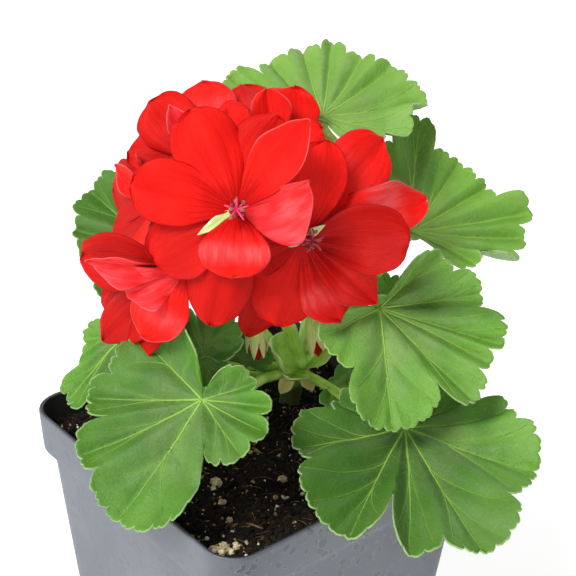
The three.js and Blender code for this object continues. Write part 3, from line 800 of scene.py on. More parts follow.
@dataclass(frozen=True)
class SoilFinish(Finish):
    """Damp peat and what is mixed in it, between a dark and a light colour."""

    name: str = "soil"
    dark: str = "040303"
    light: str = "1b1711"
    roughness: float = 0.9
    scale: float = 420.0
    depth: float = 0.0006

    def shade(self, graph: Graph) -> dict:
        """Cloudy colour at two scales, with relief.

        Args:
            graph: The material's tree.

        Returns:
            The shader's inputs.
        """
        place = graph.place()
        fine, coarse = graph.noise(place, self.scale, 4, 0.65), graph.noise(place, self.scale / 6, 3)
        amount = graph.ramp(graph.total(graph.times(fine, 0.6), graph.times(coarse, 0.4)), 0.38, 0.66)
        return {"Base Color": graph.mix(amount, self.dark, self.light), "Roughness": self.roughness,
                "Specular IOR Level": 0.25, "height": fine, "depth": self.depth}


@dataclass(frozen=True)
class HairFinish(Finish):
    """Short hairs that catch the light."""

    name: str = "pale_hair"
    dark: str = "a6d06c"
    light: str = "d8ecb4"
    roughness: float = 0.6

    def shade(self, graph: Graph) -> dict:
        """Near white, a little green."""
        shade = graph.mix(graph.noise(graph.place(), 300, 2), self.dark, self.light)
        return {"Base Color": shade, "Roughness": self.roughness, "Sheen Weight": 0.3}


@dataclass(frozen=True)
class FloorFinish(Finish):
    """The studio's floor: matt white that glows a little."""

    name: str = "studio_white"
    white: str = "fafafa"
    light: str = "ffffff"
    glow: float = 0.5
    roughness: float = 0.9

    def shade(self, graph: Graph) -> dict:
        """The same everywhere."""
        return {"Base Color": tint(self.white), "Emission Color": tint(self.light),
                "Emission Strength": self.glow, "Roughness": self.roughness}


class Slot(Enum):
    """The record's material slots."""

    POT = "pot_grey"
    SOIL = "soil"
    LEAF = "leaf_green"
    YOUNG = "young_green"
    STALK = "stalk_green"
    PETAL = "petal_red"
    STYLE = "stigma_pink"


class Wardrobe:
    """The finishes, each built once."""

    def __init__(self) -> None:
        """Builds every material of the plant, the pot and the soil."""
        self.leaf = LeafFinish().build()
        self.young = LeafFinish(name="young_green", dark="2c6216", light="467f26", outer="578f30",
                                vein="86b24a").build()
        self.stalk = StalkFinish().build()
        self.petal = PetalFinish().build()
        self.style = StyleFinish().build()
        self.pot = PotFinish().build()
        self.soil = SoilFinish().build()
        self.crumb = SoilFinish("peat_crumb", "060504", "281e15", scale=700).build()
        self.lump = SoilFinish("perlite_lump", "7d6440", "f0e2bc", scale=420, depth=0.0007).build()
        self.bark = SoilFinish("bark_chip", "4a3624", "e0c08a", scale=240, depth=0.0003).build()
        self.perlite = SoilFinish("perlite", "cfc9b8", "f3efe4", scale=900, depth=0.0002).build()
        self.fibre = SoilFinish("peat_fibre", "3a2918", "a08355", scale=300, depth=0.0001).build()
        self.hair = HairFinish().build()


def mesh_of(name: str, shape: Shape) -> bpy.types.Mesh:
    """Writes a shape as a mesh in metres, with its marks and its flat coordinates.

    Args:
        name: Name of the mesh.
        shape: The shape, in millimetres.

    Returns:
        The mesh.
    """
    mesh = bpy.data.meshes.new(name)
    faces = [face for group in shape.faces for face in group.tolist()]
    mesh.from_pydata((shape.points * MM).tolist(), [], faces)
    for mark, values in shape.marks.items():
        mesh.attributes.new(mark, "FLOAT", "POINT").data.foreach_set("value", values.astype(np.float32))
    if shape.flat is not None:
        corners = np.zeros(len(mesh.loops), np.int32)
        mesh.loops.foreach_get("vertex_index", corners)
        layer = mesh.uv_layers.new(name="flat")
        layer.uv.foreach_set("vector", (shape.flat[corners] * FLAT_SCALE).astype(np.float32).ravel())
    return mesh


def linked(name: str, data: bpy.types.ID) -> bpy.types.Object:
    """Makes an object of some data and links it to the scene.

    Args:
        name: Name of the object.
        data: A mesh, a light or a camera.

    Returns:
        The object, at the origin.
    """
    made = bpy.data.objects.new(name, data)
    bpy.context.scene.collection.objects.link(made)
    return made


def posed(axes: Array, at: Array) -> Matrix:
    """Pose of an object.

    Args:
        axes: Its three axes, as rows.
        at: Its place, in metres.

    Returns:
        The matrix that puts it there.
    """
    matrix = np.eye(4)
    matrix[:3, :3], matrix[:3, 3] = axes.T, at
    return Matrix(matrix.tolist())


@dataclass
class Piece:
    """A finished mesh object and what the frame has to know about it."""

    name: str
    slot: Slot
    nodes: tuple[str, ...]

    def from_shape(self, shape: Shape, material: bpy.types.Material) -> bpy.types.Object:
        """Writes the shape as this piece, shaded smooth.

        Args:
            shape: The shape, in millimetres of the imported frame.
            material: Its material.

        Returns:
            The object, riding on the frame's body.
        """
        mesh = mesh_of(self.name, shape)
        mesh.materials.append(material)
        mesh.polygons.foreach_set("use_smooth", np.ones(len(mesh.polygons), bool))
        mesh.update()
        return self.from_mesh(mesh)

    def from_mesh(self, mesh: bpy.types.Mesh) -> bpy.types.Object:
        """Hangs the mesh on an object at the origin and tells the frame about it.

        Args:
            mesh: The finished mesh, in metres.

        Returns:
            The object, riding on the frame's body.
        """
        piece = linked(self.name, mesh)
        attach(piece, BODY)
        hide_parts(*self.nodes)
        LOG.info("%s: %d faces", self.name, len(mesh.polygons))
        return piece


class Form(Enum):
    """The small forms that are strewn over a surface."""

    HAIR = "hair"
    GRAIN = "grain"
    FIBRE = "fibre"


@dataclass(frozen=True)
class Scatter:
    """Geometry Nodes that strew copies of a small form over a mesh, most where its mark grow is 1.

    Attributes:
        form: The form that is strewn.
        density: Copies for each square metre where grow is 1.
        smallest: Least size of a copy, in metres: length of a hair or fibre, radius of a grain.
        largest: Greatest size of a copy, in metres.
        lean: Most that a copy leans from the surface's normal, in degrees.
        slender: Radius of a hair or fibre as a share of its length; flatness of a grain.
        seed: Seed of the random draw.
    """

    form: Form
    density: float
    smallest: float
    largest: float
    lean: float
    slender: float
    seed: int

    def form_socket(self, graph: Graph, slender: Socket) -> Socket:
        """The form at size 1, as a mesh output.

        Args:
            graph: The tree that it is added to.
            slender: The tree's input of that name.

        Returns:
            The output that holds the form's mesh.
        """
        if self.form is Form.HAIR:
            sizes = {"Vertices": 3, "Radius Top": 0.0, "Radius Bottom": slender, "Depth": 1.0}
            return graph.add("GeometryNodeMeshCone", sizes, "Mesh")
        if self.form is Form.GRAIN:
            ball = graph.add("GeometryNodeMeshIcoSphere", {"Radius": 1.0, "Subdivisions": 1}, "Mesh")
            flat = graph.add("ShaderNodeCombineXYZ", {0: 1.0, 1: 0.8, 2: slender})
            return graph.add("GeometryNodeTransform", {"Geometry": ball, "Scale": flat})
        bow = {"Start": (-0.5, 0, 0.02), "Middle": (0.05, 0.3, 0.2), "End": (0.5, -0.05, 0.03)}
        arc = graph.add("GeometryNodeCurveQuadraticBezier", {"Resolution": 7, **bow})
        ring = graph.add("GeometryNodeCurvePrimitiveCircle", {"Resolution": 3, "Radius": slender})
        return graph.add("GeometryNodeCurveToMesh", {"Curve": arc, "Profile Curve": ring, "Fill Caps": True})

    def tree(self) -> bpy.types.NodeTree:
        """Builds the node group, with a named input for each of the numbers above.

        Returns:
            The node group.
        """
        tree = bpy.data.node_groups.new(f"{self.form.value}_scatter", "GeometryNodeTree")
        kinds = {"Geometry": "Geometry", "Density": "Float", "Smallest": "Float", "Largest": "Float",
                 "Lean": "Float", "Slender": "Float", "Seed": "Int", "Material": "Material"}
        for name, kind in kinds.items():
            tree.interface.new_socket(name, in_out="INPUT", socket_type=f"NodeSocket{kind}")
        tree.interface.new_socket("Geometry", in_out="OUTPUT", socket_type="NodeSocketGeometry")
        graph = Graph(tree)
        given = tree.nodes.new("NodeGroupInput").outputs
        grow = graph.add("GeometryNodeInputNamedAttribute", {"Name": "grow"}, "Attribute", data_type="FLOAT")
        density = graph.times(given["Density"], grow)
        points = graph.add("GeometryNodeDistributePointsOnFaces",
                           {"Mesh": given["Geometry"], "Density": density, "Seed": given["Seed"]}, "Points")
        back = graph.times(given["Lean"], -1.0)
        least = graph.add("ShaderNodeCombineXYZ", {0: back, 1: back, 2: -math.pi})
        most = graph.add("ShaderNodeCombineXYZ", {0: given["Lean"], 1: given["Lean"], 2: math.pi})
        turn = graph.add("FunctionNodeRandomValue", {0: least, 1: most, "Seed": given["Seed"]},
                         data_type="FLOAT_VECTOR")
        turn = graph.add("FunctionNodeEulerToRotation", {0: turn})
        turn = graph.add("FunctionNodeRotateRotation", {0: points.node.outputs["Rotation"], 1: turn},
                         rotation_space="LOCAL")
        size = graph.add("FunctionNodeRandomValue", {2: given["Smallest"], 3: given["Largest"],
                                                     "Seed": given["Seed"]}, 1, data_type="FLOAT")
        copies = graph.add("GeometryNodeInstanceOnPoints",
                           {"Points": points, "Rotation": turn, "Scale": size,
                            "Instance": self.form_socket(graph, given["Slender"])})
        real = graph.add("GeometryNodeRealizeInstances", {"Geometry": copies})
        dressed = graph.add("GeometryNodeSetMaterial", {"Geometry": real, "Material": given["Material"]})
        graph.add("NodeGroupOutput", {"Geometry": dressed})
        return tree

    def strew(self, over: Shape, piece: Piece, material: bpy.types.Material) -> None:
        """Strews the form over a shape and keeps the result as one plain mesh.

        Args:
            over: The shape that carries the copies, with the mark grow.
            piece: Name, slot and nodes of the result.
            material: Material of the copies.
        """
        base = mesh_of(f"{piece.name}_ground", Shape(over.points, over.faces, {"grow": over.marks["grow"]}))
        carrier = linked(base.name, base)
        modifier = carrier.modifiers.new(self.form.value, "NODES")
        tree = self.tree()
        values = {"Density": self.density, "Smallest": self.smallest, "Largest": self.largest,
                  "Lean": math.radians(self.lean), "Slender": self.slender, "Seed": self.seed,
                  "Material": material}
        modifier.node_group = tree
        for item in tree.interface.items_tree:
            if item.in_out == "INPUT" and item.name in values:
                modifier[item.identifier] = values[item.name]
        carrier.update_tag()
        graph = bpy.context.evaluated_depsgraph_get()
        mesh = bpy.data.meshes.new_from_object(carrier.evaluated_get(graph), depsgraph=graph)
        mesh.name = piece.name
        bpy.data.objects.remove(carrier)
        bpy.data.meshes.remove(base)
        piece.from_mesh(mesh)


CRUMBS = Scatter(Form.GRAIN, 620000, 0.0004, 0.0014, lean=180, slender=0.7, seed=11)
BARK = Scatter(Form.GRAIN, 100000, 0.00025, 0.001, lean=40, slender=0.4, seed=12)
PERLITE = Scatter(Form.GRAIN, 40000, 0.0003, 0.0009, lean=180, slender=0.75, seed=13)
FIBRES = Scatter(Form.FIBRE, 42000, 0.0018, 0.0065, lean=24, slender=0.014, seed=14)
STALK_HAIRS = Scatter(Form.HAIR, 1.5e6, 0.0003, 0.0008, lean=50, slender=0.024, seed=21)
MARGIN_HAIRS = Scatter(Form.HAIR, 4e6, 0.0002, 0.0005, lean=45, slender=0.04, seed=22)
HEAD_HAIRS = Scatter(Form.HAIR, 2.2e6, 0.0003, 0.0009, lean=45, slender=0.028, seed=31)


@dataclass(frozen=True)
class PotSize:
    """The square nursery pot, in millimetres."""

    height: float = 86.0
    rim_width: float = 95.0
    base_width: float = 76.0
    band_height: float = 13.0
    band_step: float = 2.0
    band_taper: float = 0.8
    wall: float = 1.3
    floor: float = 2.0
    rim_corner: float = 9.0
    base_corner: float = 7.0
    hole_radius: float = 4.5
    hole_offset: float = 22.0
    hole_points: int = 32
    corner_points: int = 12

    @property
    def band_foot(self) -> float:
        """Height at which the band round the rim begins."""
        return self.height - self.band_height

    @property
    def rim_half(self) -> float:
        """Half the width over the rim."""
        return self.rim_width / 2

    def body_half(self, z: float) -> float:
        """Half the width of the body below the band.

        Args:
            z: Height above the foot.

        Returns:
            Half the width there.
        """
        top = self.rim_half - self.band_taper - self.band_step
        share = min(z / self.band_foot, 1)
        return self.base_width / 2 + (top - self.base_width / 2) * share

    def corner(self, z: float) -> float:
        """Radius of the corners at a height."""
        return self.base_corner + (self.rim_corner - self.base_corner) * z / self.height

    def ring(self, half: float, z: float, inset: float = 0.0, count: int = 160) -> Array:
        """Points of a rounded square at even spacing.

        Args:
            half: Half its width.
            z: Its height.
            inset: How much tighter its corners are than the pot's.
            count: Number of points.

        Returns:
            The points, anticlockwise from above.
        """
        radius = self.corner(z) - inset
        turn = np.radians(np.linspace(0, 90, self.corner_points))
        arcs = []
        for k, side in enumerate(((1, 1), (-1, 1), (-1, -1), (1, -1))):
            angle = turn + k * np.pi / 2
            arc = radius * np.column_stack([np.cos(angle), np.sin(angle)])
            arcs.append(np.array(side) * (half - radius) + arc)
        loop = evenly(np.concatenate([*arcs, arcs[0][:1]]), count, closed=True)
        return np.column_stack([loop, np.full(count, z)])


@dataclass
class Pot:
    """The pot: tapered wall, band with a soft step, rounded rim, floor with drain holes."""

    size: PotSize
    wardrobe: Wardrobe

    def profile(self) -> list[tuple[float, float, float]]:
        """Section of the wall, from the foot up and down the inside.

        Returns:
            Half width, height and inner share of each ring.
        """
        s = self.size
        step, foot, rim = s.band_foot - s.band_step, s.band_foot, s.rim_half
        body = s.body_half(step)
        outer = [(s.body_half(0) - 1.2, 0), (s.body_half(0) - 0.5, 0.15), (s.body_half(0) - 0.1, 0.6),
                 (s.body_half(1.4), 1.4), (s.body_half(20), 20), (s.body_half(45), 45),
                 (body - 0.15, step - 1.4), (body, step - 0.4), (body + 0.25, step + 0.1),
                 (rim - s.band_taper - 0.5, foot - 0.35), (rim - s.band_taper - 0.1, foot + 0.05),
                 (rim - s.band_taper + 0.05, foot + 0.7), (rim - 0.05, s.height - 0.9),
                 (rim - 0.08, s.height - 0.4), (rim - 0.3, s.height - 0.1)]
        lip = [(rim - s.wall / 2, s.height), (rim - s.wall + 0.2, s.height - 0.12)]
        inner = [(rim - s.wall, s.height - 0.5), (rim - s.wall - s.band_taper, foot + 0.6),
                 (rim - s.wall - s.band_taper - 0.4, foot - 0.1), (body - s.wall + 0.2, step + 0.2),
                 (body - s.wall, step - 0.5), (s.body_half(30) - s.wall, 30),
                 (s.body_half(4) - s.wall, 4), (s.body_half(2) - s.wall - 0.4, s.floor + 0.3),
                 (s.body_half(2) - s.wall - 1.2, s.floor)]
        parts = ((outer, 0.0), (lip, 0.7), (inner, 1.0))
        return [(half, z, share) for part, share in parts for half, z in part]

    def floor(self, rim: Array, z: float, up: bool) -> Shape:
        """One face of the floor, with its drain holes left open.

        Args:
            rim: The loop that bounds it.
            z: Its height.
            up: Whether it faces up.

        Returns:
            The flat face.
        """
        loops = [rim.tolist()] + [self.hole(x, y, z).tolist() for x, y in self.hole_places()]
        points = np.array([point for loop in loops for point in loop])
        triangles = np.array(tessellate_polygon(loops))
        corners = points[triangles]
        area = np.cross(corners[:, 1] - corners[:, 0], corners[:, 2] - corners[:, 0])[:, 2]
        solid = np.abs(area) > 1e-6
        triangles, area = triangles[solid], area[solid]
        wrong = (area > 0) != up
        triangles[wrong] = triangles[wrong][:, ::-1]
        return Shape(points, [triangles])

    def hole_places(self) -> list[tuple[float, float]]:
        """Middles of the four drain holes, across and along."""
        off = self.size.hole_offset
        return [(sx * off, sy * off) for sx in (1, -1) for sy in (1, -1)]

    def hole(self, x: float, y: float, z: float) -> Array:
        """The edge of a drain hole.

        Args:
            x: Its middle across.
            y: Its middle along.
            z: Its height.

        Returns:
            The points, anticlockwise from above.
        """
        count, radius = self.size.hole_points, self.size.hole_radius
        turn = np.linspace(0, 2 * np.pi, count, endpoint=False)
        return np.stack([x + radius * np.cos(turn), y + radius * np.sin(turn), np.full(count, z)], 1)

    def build(self) -> None:
        """Makes the pot."""
        profile = self.profile()
        rings = [self.size.ring(half, z, self.size.wall * inner) for half, z, inner in profile]
        count = len(rings[0])
        wall = Shape(np.concatenate(rings), [grid_faces(len(rings), count, wrap=True)])
        wall.marked(inside=np.repeat([inner for _, _, inner in profile], count))
        low = self.floor(rings[0], 0.0, up=False).marked(inside=0.0)
        high = self.floor(rings[-1], self.size.floor, up=True).marked(inside=1.0)
        holes = []
        for x, y in self.hole_places():
            pair = np.concatenate([self.hole(x, y, self.size.floor), self.hole(x, y, 0.0)])
            holes.append(Shape(pair, [grid_faces(2, self.size.hole_points, wrap=True)]).marked(inside=0.5))
        shape = Shape.joined([wall, low, high, *holes])
        shape.flat = None
        pot = Piece("pot_shell", Slot.POT, ("pot",)).from_shape(shape, self.wardrobe.pot)
        weld(pot.data)


def weld(mesh: bpy.types.Mesh, distance: float = 1e-6) -> None:
    """Joins points of a mesh that lie on each other.

    Args:
        mesh: The mesh, changed in place.
        distance: How far apart such points may be, in metres.
    """
    work = bmesh.new()
    work.from_mesh(mesh)
    bmesh.ops.remove_doubles(work, verts=work.verts, dist=distance)
    work.to_mesh(mesh)
    work.free()
    mesh.update()


@dataclass
class Soil:
    """Potting mix: a crumbly bed with crumbs, bark, perlite and fibres lying on it."""

    pot: PotSize
    wardrobe: Wardrobe
    below_rim: float = 8.0
    relief: float = 1.6
    clearance: float = 0.3
    round_points: int = 260
    heap_middle: tuple[float, float] = (-37.4, -34.0)
    heap_spread: tuple[float, float] = (2.6, 2.2)
    heap_lumps: int = 46
    root_routes: tuple[tuple[tuple[float, float], ...], ...] = (
        ((-4.5, -4.6), (-2.8, -7.2), (2.1, -7.1), (5.5, -8.5)), ((-30, -27), (-26.5, -29), (-24.5, -33)))
    lumps: tuple[Point, ...] = (
        (-40.1, -32.4, 1.4), (-39.2, -34.6, 1.1), (-37.6, -33.2, 1.3), (-37.0, -35.6, 1.0),
        (-40.6, -36.2, 0.9), (-35.0, -35.4, 0.8), (-20.8, -7.5, 1.9), (-23.2, -9.8, 0.9),
        (-25.5, -16.7, 1.0), (-6.1, -18.8, 1.3), (-13.0, -24.3, 0.8), (-28.5, -24.0, 0.9),
        (-38.9, 33.1, 1.0), (-36.5, 20.5, 1.3), (24.0, -36.0, 1.4), (34.0, 30.0, 1.6),
        (10.0, 37.0, 1.2), (-12.0, 34.0, 1.5))

    def height(self, x: Array, y: Array) -> Array:
        """Height of the soil's top.

        Args:
            x: First coordinate of each place.
            y: Second coordinate of each place.

        Returns:
            The height at each place.
        """
        clods = np.sin(0.31 * x + 1.3) * np.cos(0.27 * y - 0.4) + np.sin(0.17 * x - 0.23 * y)
        lumps = np.sin(0.83 * x + 0.41 * y) * np.sin(0.71 * y - 0.52 * x + 2.1)
        grains = ((0.9, 5.5, 3), (0.6, 2.4, 4), (0.35, 1.1, 5))
        rough = sum(size * bump_field(x, y, cell, seed) for size, cell, seed in grains)
        return self.pot.height - self.below_rim + self.relief * (0.45 * clods + 0.4 * lumps) + rough

    def bed(self) -> Shape:
        """Builds the body of the soil.

        Returns:
            The closed body, with the mark grow on its open top.
        """
        size, bottom, count = self.pot, self.pot.floor + self.clearance, self.round_points
        step = size.band_foot - size.band_step
        inset = size.wall + self.clearance
        sides = [size.ring(size.body_half(z) - inset - 0.2, z, inset, count)
                 for z in (bottom, 30, step - 0.6)]
        brim = size.rim_half - size.band_taper - inset
        sides.append(size.ring(brim - 0.4, size.band_foot + 1, inset, count))
        edge = size.ring(brim, size.height - self.below_rim - 1.4, inset, count)
        rings = [*sides, edge]
        for share in np.concatenate([np.linspace(0.995, 0.1, 62), [0.05, 0.02]]):
            x, y = edge[:, 0] * share, edge[:, 1] * share
            drop = 0.8 * np.clip((share - 0.96) / 0.04, 0, 1)
            rings.append(np.stack([x, y, self.height(x, y) - drop], 1))
        shape = lofted(np.array(rings))
        top = np.repeat((np.arange(len(rings)) > len(sides)).astype(float), count)
        return shape.marked(grow=np.concatenate([top, [0, 1]]))

    def lump(self, x: float, y: float, radius: float, seed: int) -> Shape:
        """One knobbly lump that lies on the bed.

        Args:
            x: Its place across.
            y: Its place along.
            radius: Its mean radius.
            seed: Seed of its knobs.

        Returns:
            The closed lump.
        """
        turn = np.linspace(0, np.pi, 11)[1:-1]
        rings = [(math.sin(a) * radius, -math.cos(a) * radius * 0.75) for a in turn]
        ball = turned(rings, 14)
        way = unit(ball.points)
        knob = bump_field(2.1 * way[:, 0] + 5, 2.1 * way[:, 1] + 1.7 * way[:, 2] + 5, 0.7, seed)
        ball.points = ball.points * (1 + 0.38 * knob)[:, None]
        ball.points = ball.points + [x, y, float(self.height(x, y)) + 0.55 * radius]
        return ball

    def heap(self) -> list[Point]:
        """Scatters small lumps over the front corner.

        Returns:
            Place and radius of each.
        """
        rng = np.random.default_rng(77)
        middle, spread = np.array(self.heap_middle), np.array(self.heap_spread)
        return [(*(middle + spread * rng.normal(0, 0.62, 2)), rng.uniform(0.25, 0.75))
                for _ in range(self.heap_lumps)]

    def roots(self) -> Shape:
        """Lays the two pale roots across the bed.

        Returns:
            Both roots as one shape.
        """
        built = []
        for route in self.root_routes:
            line = np.array([(x, y, float(self.height(x, y)) + 0.9) for x, y in route])
            built.append(tube(line, (0.5, 0.25), 7, 16))
        return Shape.joined(built)

    def build(self) -> None:
        """Makes the bed and what lies on it."""
        bed, wardrobe = self.bed(), self.wardrobe
        lumps = [self.lump(*place, 70 + k) for k, place in enumerate([*self.lumps, *self.heap()])]
        for name, shape, material in (("soil_bed", bed, wardrobe.soil),
                                      ("perlite_lumps", Shape.joined(lumps), wardrobe.lump),
                                      ("pale_roots", self.roots(), wardrobe.fibre)):
            Piece(name, Slot.SOIL, ("soil",)).from_shape(shape, material)
        for name, material, scatter in (("peat_crumbs", wardrobe.crumb, CRUMBS),
                                        ("bark_chips", wardrobe.bark, BARK),
                                        ("perlite_grains", wardrobe.perlite, PERLITE),
                                        ("peat_fibres", wardrobe.fibre, FIBRES)):
            scatter.strew(bed, Piece(name, Slot.SOIL, ("soil",)), material)


@dataclass(frozen=True)
class Lobe:
    """One lobe of a leaf: angle and reach of its tip, angle and reach of the notch after it."""

    tip: float
    reach: float
    notch: float
    depth: float


@dataclass(frozen=True)
class LeafForm:
    """A leaf's place and outline, in millimetres and degrees.

    Attributes:
        at: Head of the leaf's stalk.
        tilt: Lean of its upper face from level.
        facing: Heading the upper face leans to.
        points: Heading of its midrib.
        lobes: Its lobes, anticlockwise from above; angles run from the midrib.
        stalk: Points that its stalk goes through, from the stem outwards.
        pleat: Height of the folds between the lobes.
        cup: Height that the rim is raised by.
        bend: Degrees that the outer part bends up by.
        curls: Further bends: angle, spread and degrees of each.
        tucks: Creases across the pleats: angle, spread and height of each.
        shades: Parts with painted light (positive) and painted shade (negative), partly their own lighter and
            darker green: angle, spread and amount of each.
        thick: Radius of the stalk at its start.
        wave: Height of the waves along the margin.
        young: Whether it is a young, darker leaf.
        tone: Painted light where positive and painted shade where negative over the whole leaf, partly its
            own lighter and darker green, from -1 to 1.
    """

    at: Point
    tilt: float
    facing: float
    points: float
    lobes: tuple[tuple[float, float, float, float], ...]
    stalk: tuple[Point, ...] = ()
    pleat: float = 1.6
    cup: float = 0.0
    bend: float = 0.0
    curls: tuple[tuple[float, float, float], ...] = ()
    tucks: tuple[tuple[float, float, float], ...] = ()
    shades: tuple[tuple[float, float, float], ...] = ()
    thick: float = 1.5
    wave: float = 0.45
    young: bool = False
    tone: float = 0.0

    @property
    def placement(self) -> Placement:
        """The blade's frame."""
        return Placement.of_blade(self.at, self.tilt, self.facing, self.points)


@dataclass
class Vein:
    """A vein on the flat leaf: its points and its half width at each."""

    points: Array
    half: Array
    rank: int


class LeafBlade:
    """A leaf blade: outline, curved surface, veins and relief."""

    HEART = 1.8
    PLEAT_REACH = 20.0
    TOOTH_WIDTH = 5.2
    TOOTH_DEPTH = 1.45
    TOOTH_SHARE = 0.1
    BEND_FROM = 0.45
    FOLD = 1.6
    TOOTH_STEPS = (0.0, 0.04, 0.14, 0.28, 0.42, 0.56, 0.7, 0.86, 0.96)
    RINGS = 21
    RISE_ABOVE = 0.09
    RISE_BELOW = 0.2
    VEIN_SUNK = 0.08
    VEINED_SHARE = 0.28
    VEINED_REACH = 6.0
    MAIN_STEPS = 25
    FORK_POINTS = 13
    SIDE_FIRST, SIDE_LAST, SIDE_GAP = 0.16, 0.9, 0.085
    CHUNK = 4096
    VEIN_FADES = ((0.95, 0.45), (0.5, 0.22), (0.12, 0.04))

    def __init__(self, form: LeafForm, seed: int) -> None:
        """Lays out the lobes and the veins.

        Args:
            form: The leaf's form.
            seed: Seed of its small irregularities.
        """
        self.form = form
        self.rng = np.random.default_rng(seed)
        self.seed = seed
        self.lobes = [Lobe(*lobe) for lobe in form.lobes]
        self.tips, self.reaches, self.notches, self.depths = np.array(form.lobes, float).T.copy()
        self.starts = np.roll(self.notches, 1)
        self.starts[0] -= 360
        self.start_depths = np.roll(self.depths, 1)
        arc = np.radians(self.notches - self.starts) * self.reaches / self.TOOTH_WIDTH
        self.teeth = np.maximum(1, np.floor(arc + 0.5)).astype(int)
        self.size = float(self.reaches.max())
        self.vein_width = 0.5 if self.size > 20 else 0.26
        self.veins = self.lay_veins()
        self.segments = [self.segments_of(rank) for rank in (0, 1)]

    def span(self, angle: Array) -> tuple[Array, Array]:
        """Number of the lobe at each angle, and the angle brought into its span."""
        angle = (np.asarray(angle, float) - self.starts[0]) % 360 + self.starts[0]
        return np.clip(np.searchsorted(self.notches, angle, side="right"), 0, len(self.lobes) - 1), angle

    def climb(self, index: Array, angle: Array) -> tuple[Array, Array]:
        """Tells how near each angle is to its lobe's tip.

        Args:
            index: Number of the lobe at each angle.
            angle: The angles, each in the span of its lobe.

        Returns:
            Share of the way from notch to tip, and the reach of that notch.
        """
        rising = angle < self.tips[index]
        up = (angle - self.starts[index]) / (self.tips[index] - self.starts[index])
        down = (self.notches[index] - angle) / (self.notches[index] - self.tips[index])
        low = np.where(rising, self.start_depths[index], self.depths[index])
        return np.clip(np.where(rising, up, down), 0, 1), low

    def radius(self, angle: Array) -> Array:
        """Reach of the toothed outline.

        Args:
            angle: Angles from the midrib, in degrees.

        Returns:
            The reach at each angle.
        """
        index, angle = self.span(angle)
        climb, low = self.climb(index, angle)
        share = (angle - self.starts[index]) / (self.notches[index] - self.starts[index])
        phase = (share * self.teeth[index]) % 1
        number = np.floor(share * self.teeth[index]).astype(int) + 9 * index
        uneven = np.random.default_rng(self.seed + 80).uniform(0.45, 1.45, 128)[number % 128]
        depth = np.minimum(self.TOOTH_DEPTH, self.TOOTH_SHARE * self.reaches[index]) * uneven
        tooth = depth * (1 - np.sqrt(np.abs(np.sin(np.pi * phase)))) + 0.38 * depth * (
            1 - np.sqrt(np.abs(np.sin(2 * np.pi * phase + 0.5))))
        smooth = low + (self.reaches[index] - low) * np.sqrt(1 - (1 - climb) ** 2)
        return np.maximum(smooth - tooth, self.HEART)

    def soft_reach(self, angle: Array) -> Array:
        """Reach of the outline with its notches rounded and its teeth left out.

        Args:
            angle: Angles from the midrib, in degrees.

        Returns:
            The reach at each angle.
        """
        index, angle = self.span(angle)
        climb, low = self.climb(index, angle)
        return low + (self.reaches[index] - low) * np.sin(np.pi / 2 * climb) ** 2

    def lay_veins(self) -> list[Vein]:
        """Lays the veins of every lobe but the smallest.

        Returns:
            Of each lobe the main vein, the forks to its teeth and short side veins.
        """
        veins = []
        for i, lobe in enumerate(self.lobes):
            if lobe.reach >= max(self.VEINED_SHARE * self.size, self.VEINED_REACH):
                main = self.main_vein(lobe)
                veins += [main, *self.forks(i, lobe, main.points), *self.side_veins(lobe, main.points)]
        return veins

    def main_vein(self, lobe: Lobe) -> Vein:
        """The vein that runs to a lobe's tip, bowed a little to one side.

        Args:
            lobe: The lobe.

        Returns:
            The vein.
        """
        tip = 0.955 * lobe.reach * spoke(lobe.tip)[:2]
        bow = left_of(tip) * self.rng.uniform(-0.05, 0.05)
        points = arch(np.zeros(2), tip * 0.5 + bow, tip, self.MAIN_STEPS + 1)
        taper = 1 - 0.72 * np.linspace(0, 1, self.MAIN_STEPS + 1)
        return Vein(points, self.vein_width * taper * min(1, lobe.reach / 26), 0)

    def forks(self, i: int, lobe: Lobe, main: Array) -> list[Vein]:
        """The veins that leave a main vein for the teeth of its lobe.

        Args:
            i: The lobe's number.
            lobe: The lobe.
            main: Points of its main vein.

        Returns:
            The forks; a lobe of one or two teeth has none.
        """
        count = int(self.teeth[i])
        span = (self.notches[i] - self.starts[i]) / count
        centres = self.starts[i] + (np.arange(count) + 0.5) * span
        widest = max(np.abs(centres - lobe.tip).max(), 1)
        forks = []
        for number, centre in enumerate(centres if count > 2 else ()):
            away = abs(centre - lobe.tip)
            from_side = min(number, count - 1 - number)
            if away < 0.35 * span or (count > 4 and from_side % 2 == 1):
                continue
            leave = 0.68 - 0.42 * away / widest + self.rng.uniform(-0.06, 0.06)
            k = int(leave * self.MAIN_STEPS)
            end = 0.95 * float(self.radius(centre)) * spoke(centre)[:2]
            onward = unit(main[k] - main[k - 3]) * 0.3 * np.linalg.norm(end - main[k])
            taper = 1 - 0.65 * np.linspace(0, 1, self.FORK_POINTS)
            half = 0.66 * self.vein_width * (1 - leave * 0.35) * taper
            forks.append(Vein(arch(main[k], main[k] + onward, end, self.FORK_POINTS), half, 1))
        return forks

    def side_veins(self, lobe: Lobe, main: Array) -> list[Vein]:
        """The short veins that leave a main vein in pairs.

        Args:
            lobe: The lobe.
            main: Points of its main vein.

        Returns:
            The side veins.
        """
        built = []
        s = np.linspace(0, 1, 5)[:, None]
        for share in np.arange(self.SIDE_FIRST, self.SIDE_LAST, self.SIDE_GAP):
            for side in (-1, 1):
                k = int(share * self.MAIN_STEPS)
                way = unit(main[k + 1] - main[k])
                across = left_of(way) * side
                long = lobe.reach * (0.15 + 0.05 * self.rng.uniform(-1, 1)) * (1.15 - 0.6 * share)
                lean = self.rng.uniform(0.75, 1.15)
                branch = main[k] + long * (way * s * lean + across * s * (0.72 + 0.1 * s))
                built.append(Vein(branch, 0.3 * self.vein_width * (1 - 0.7 * s[:, 0]), 2))
        return built

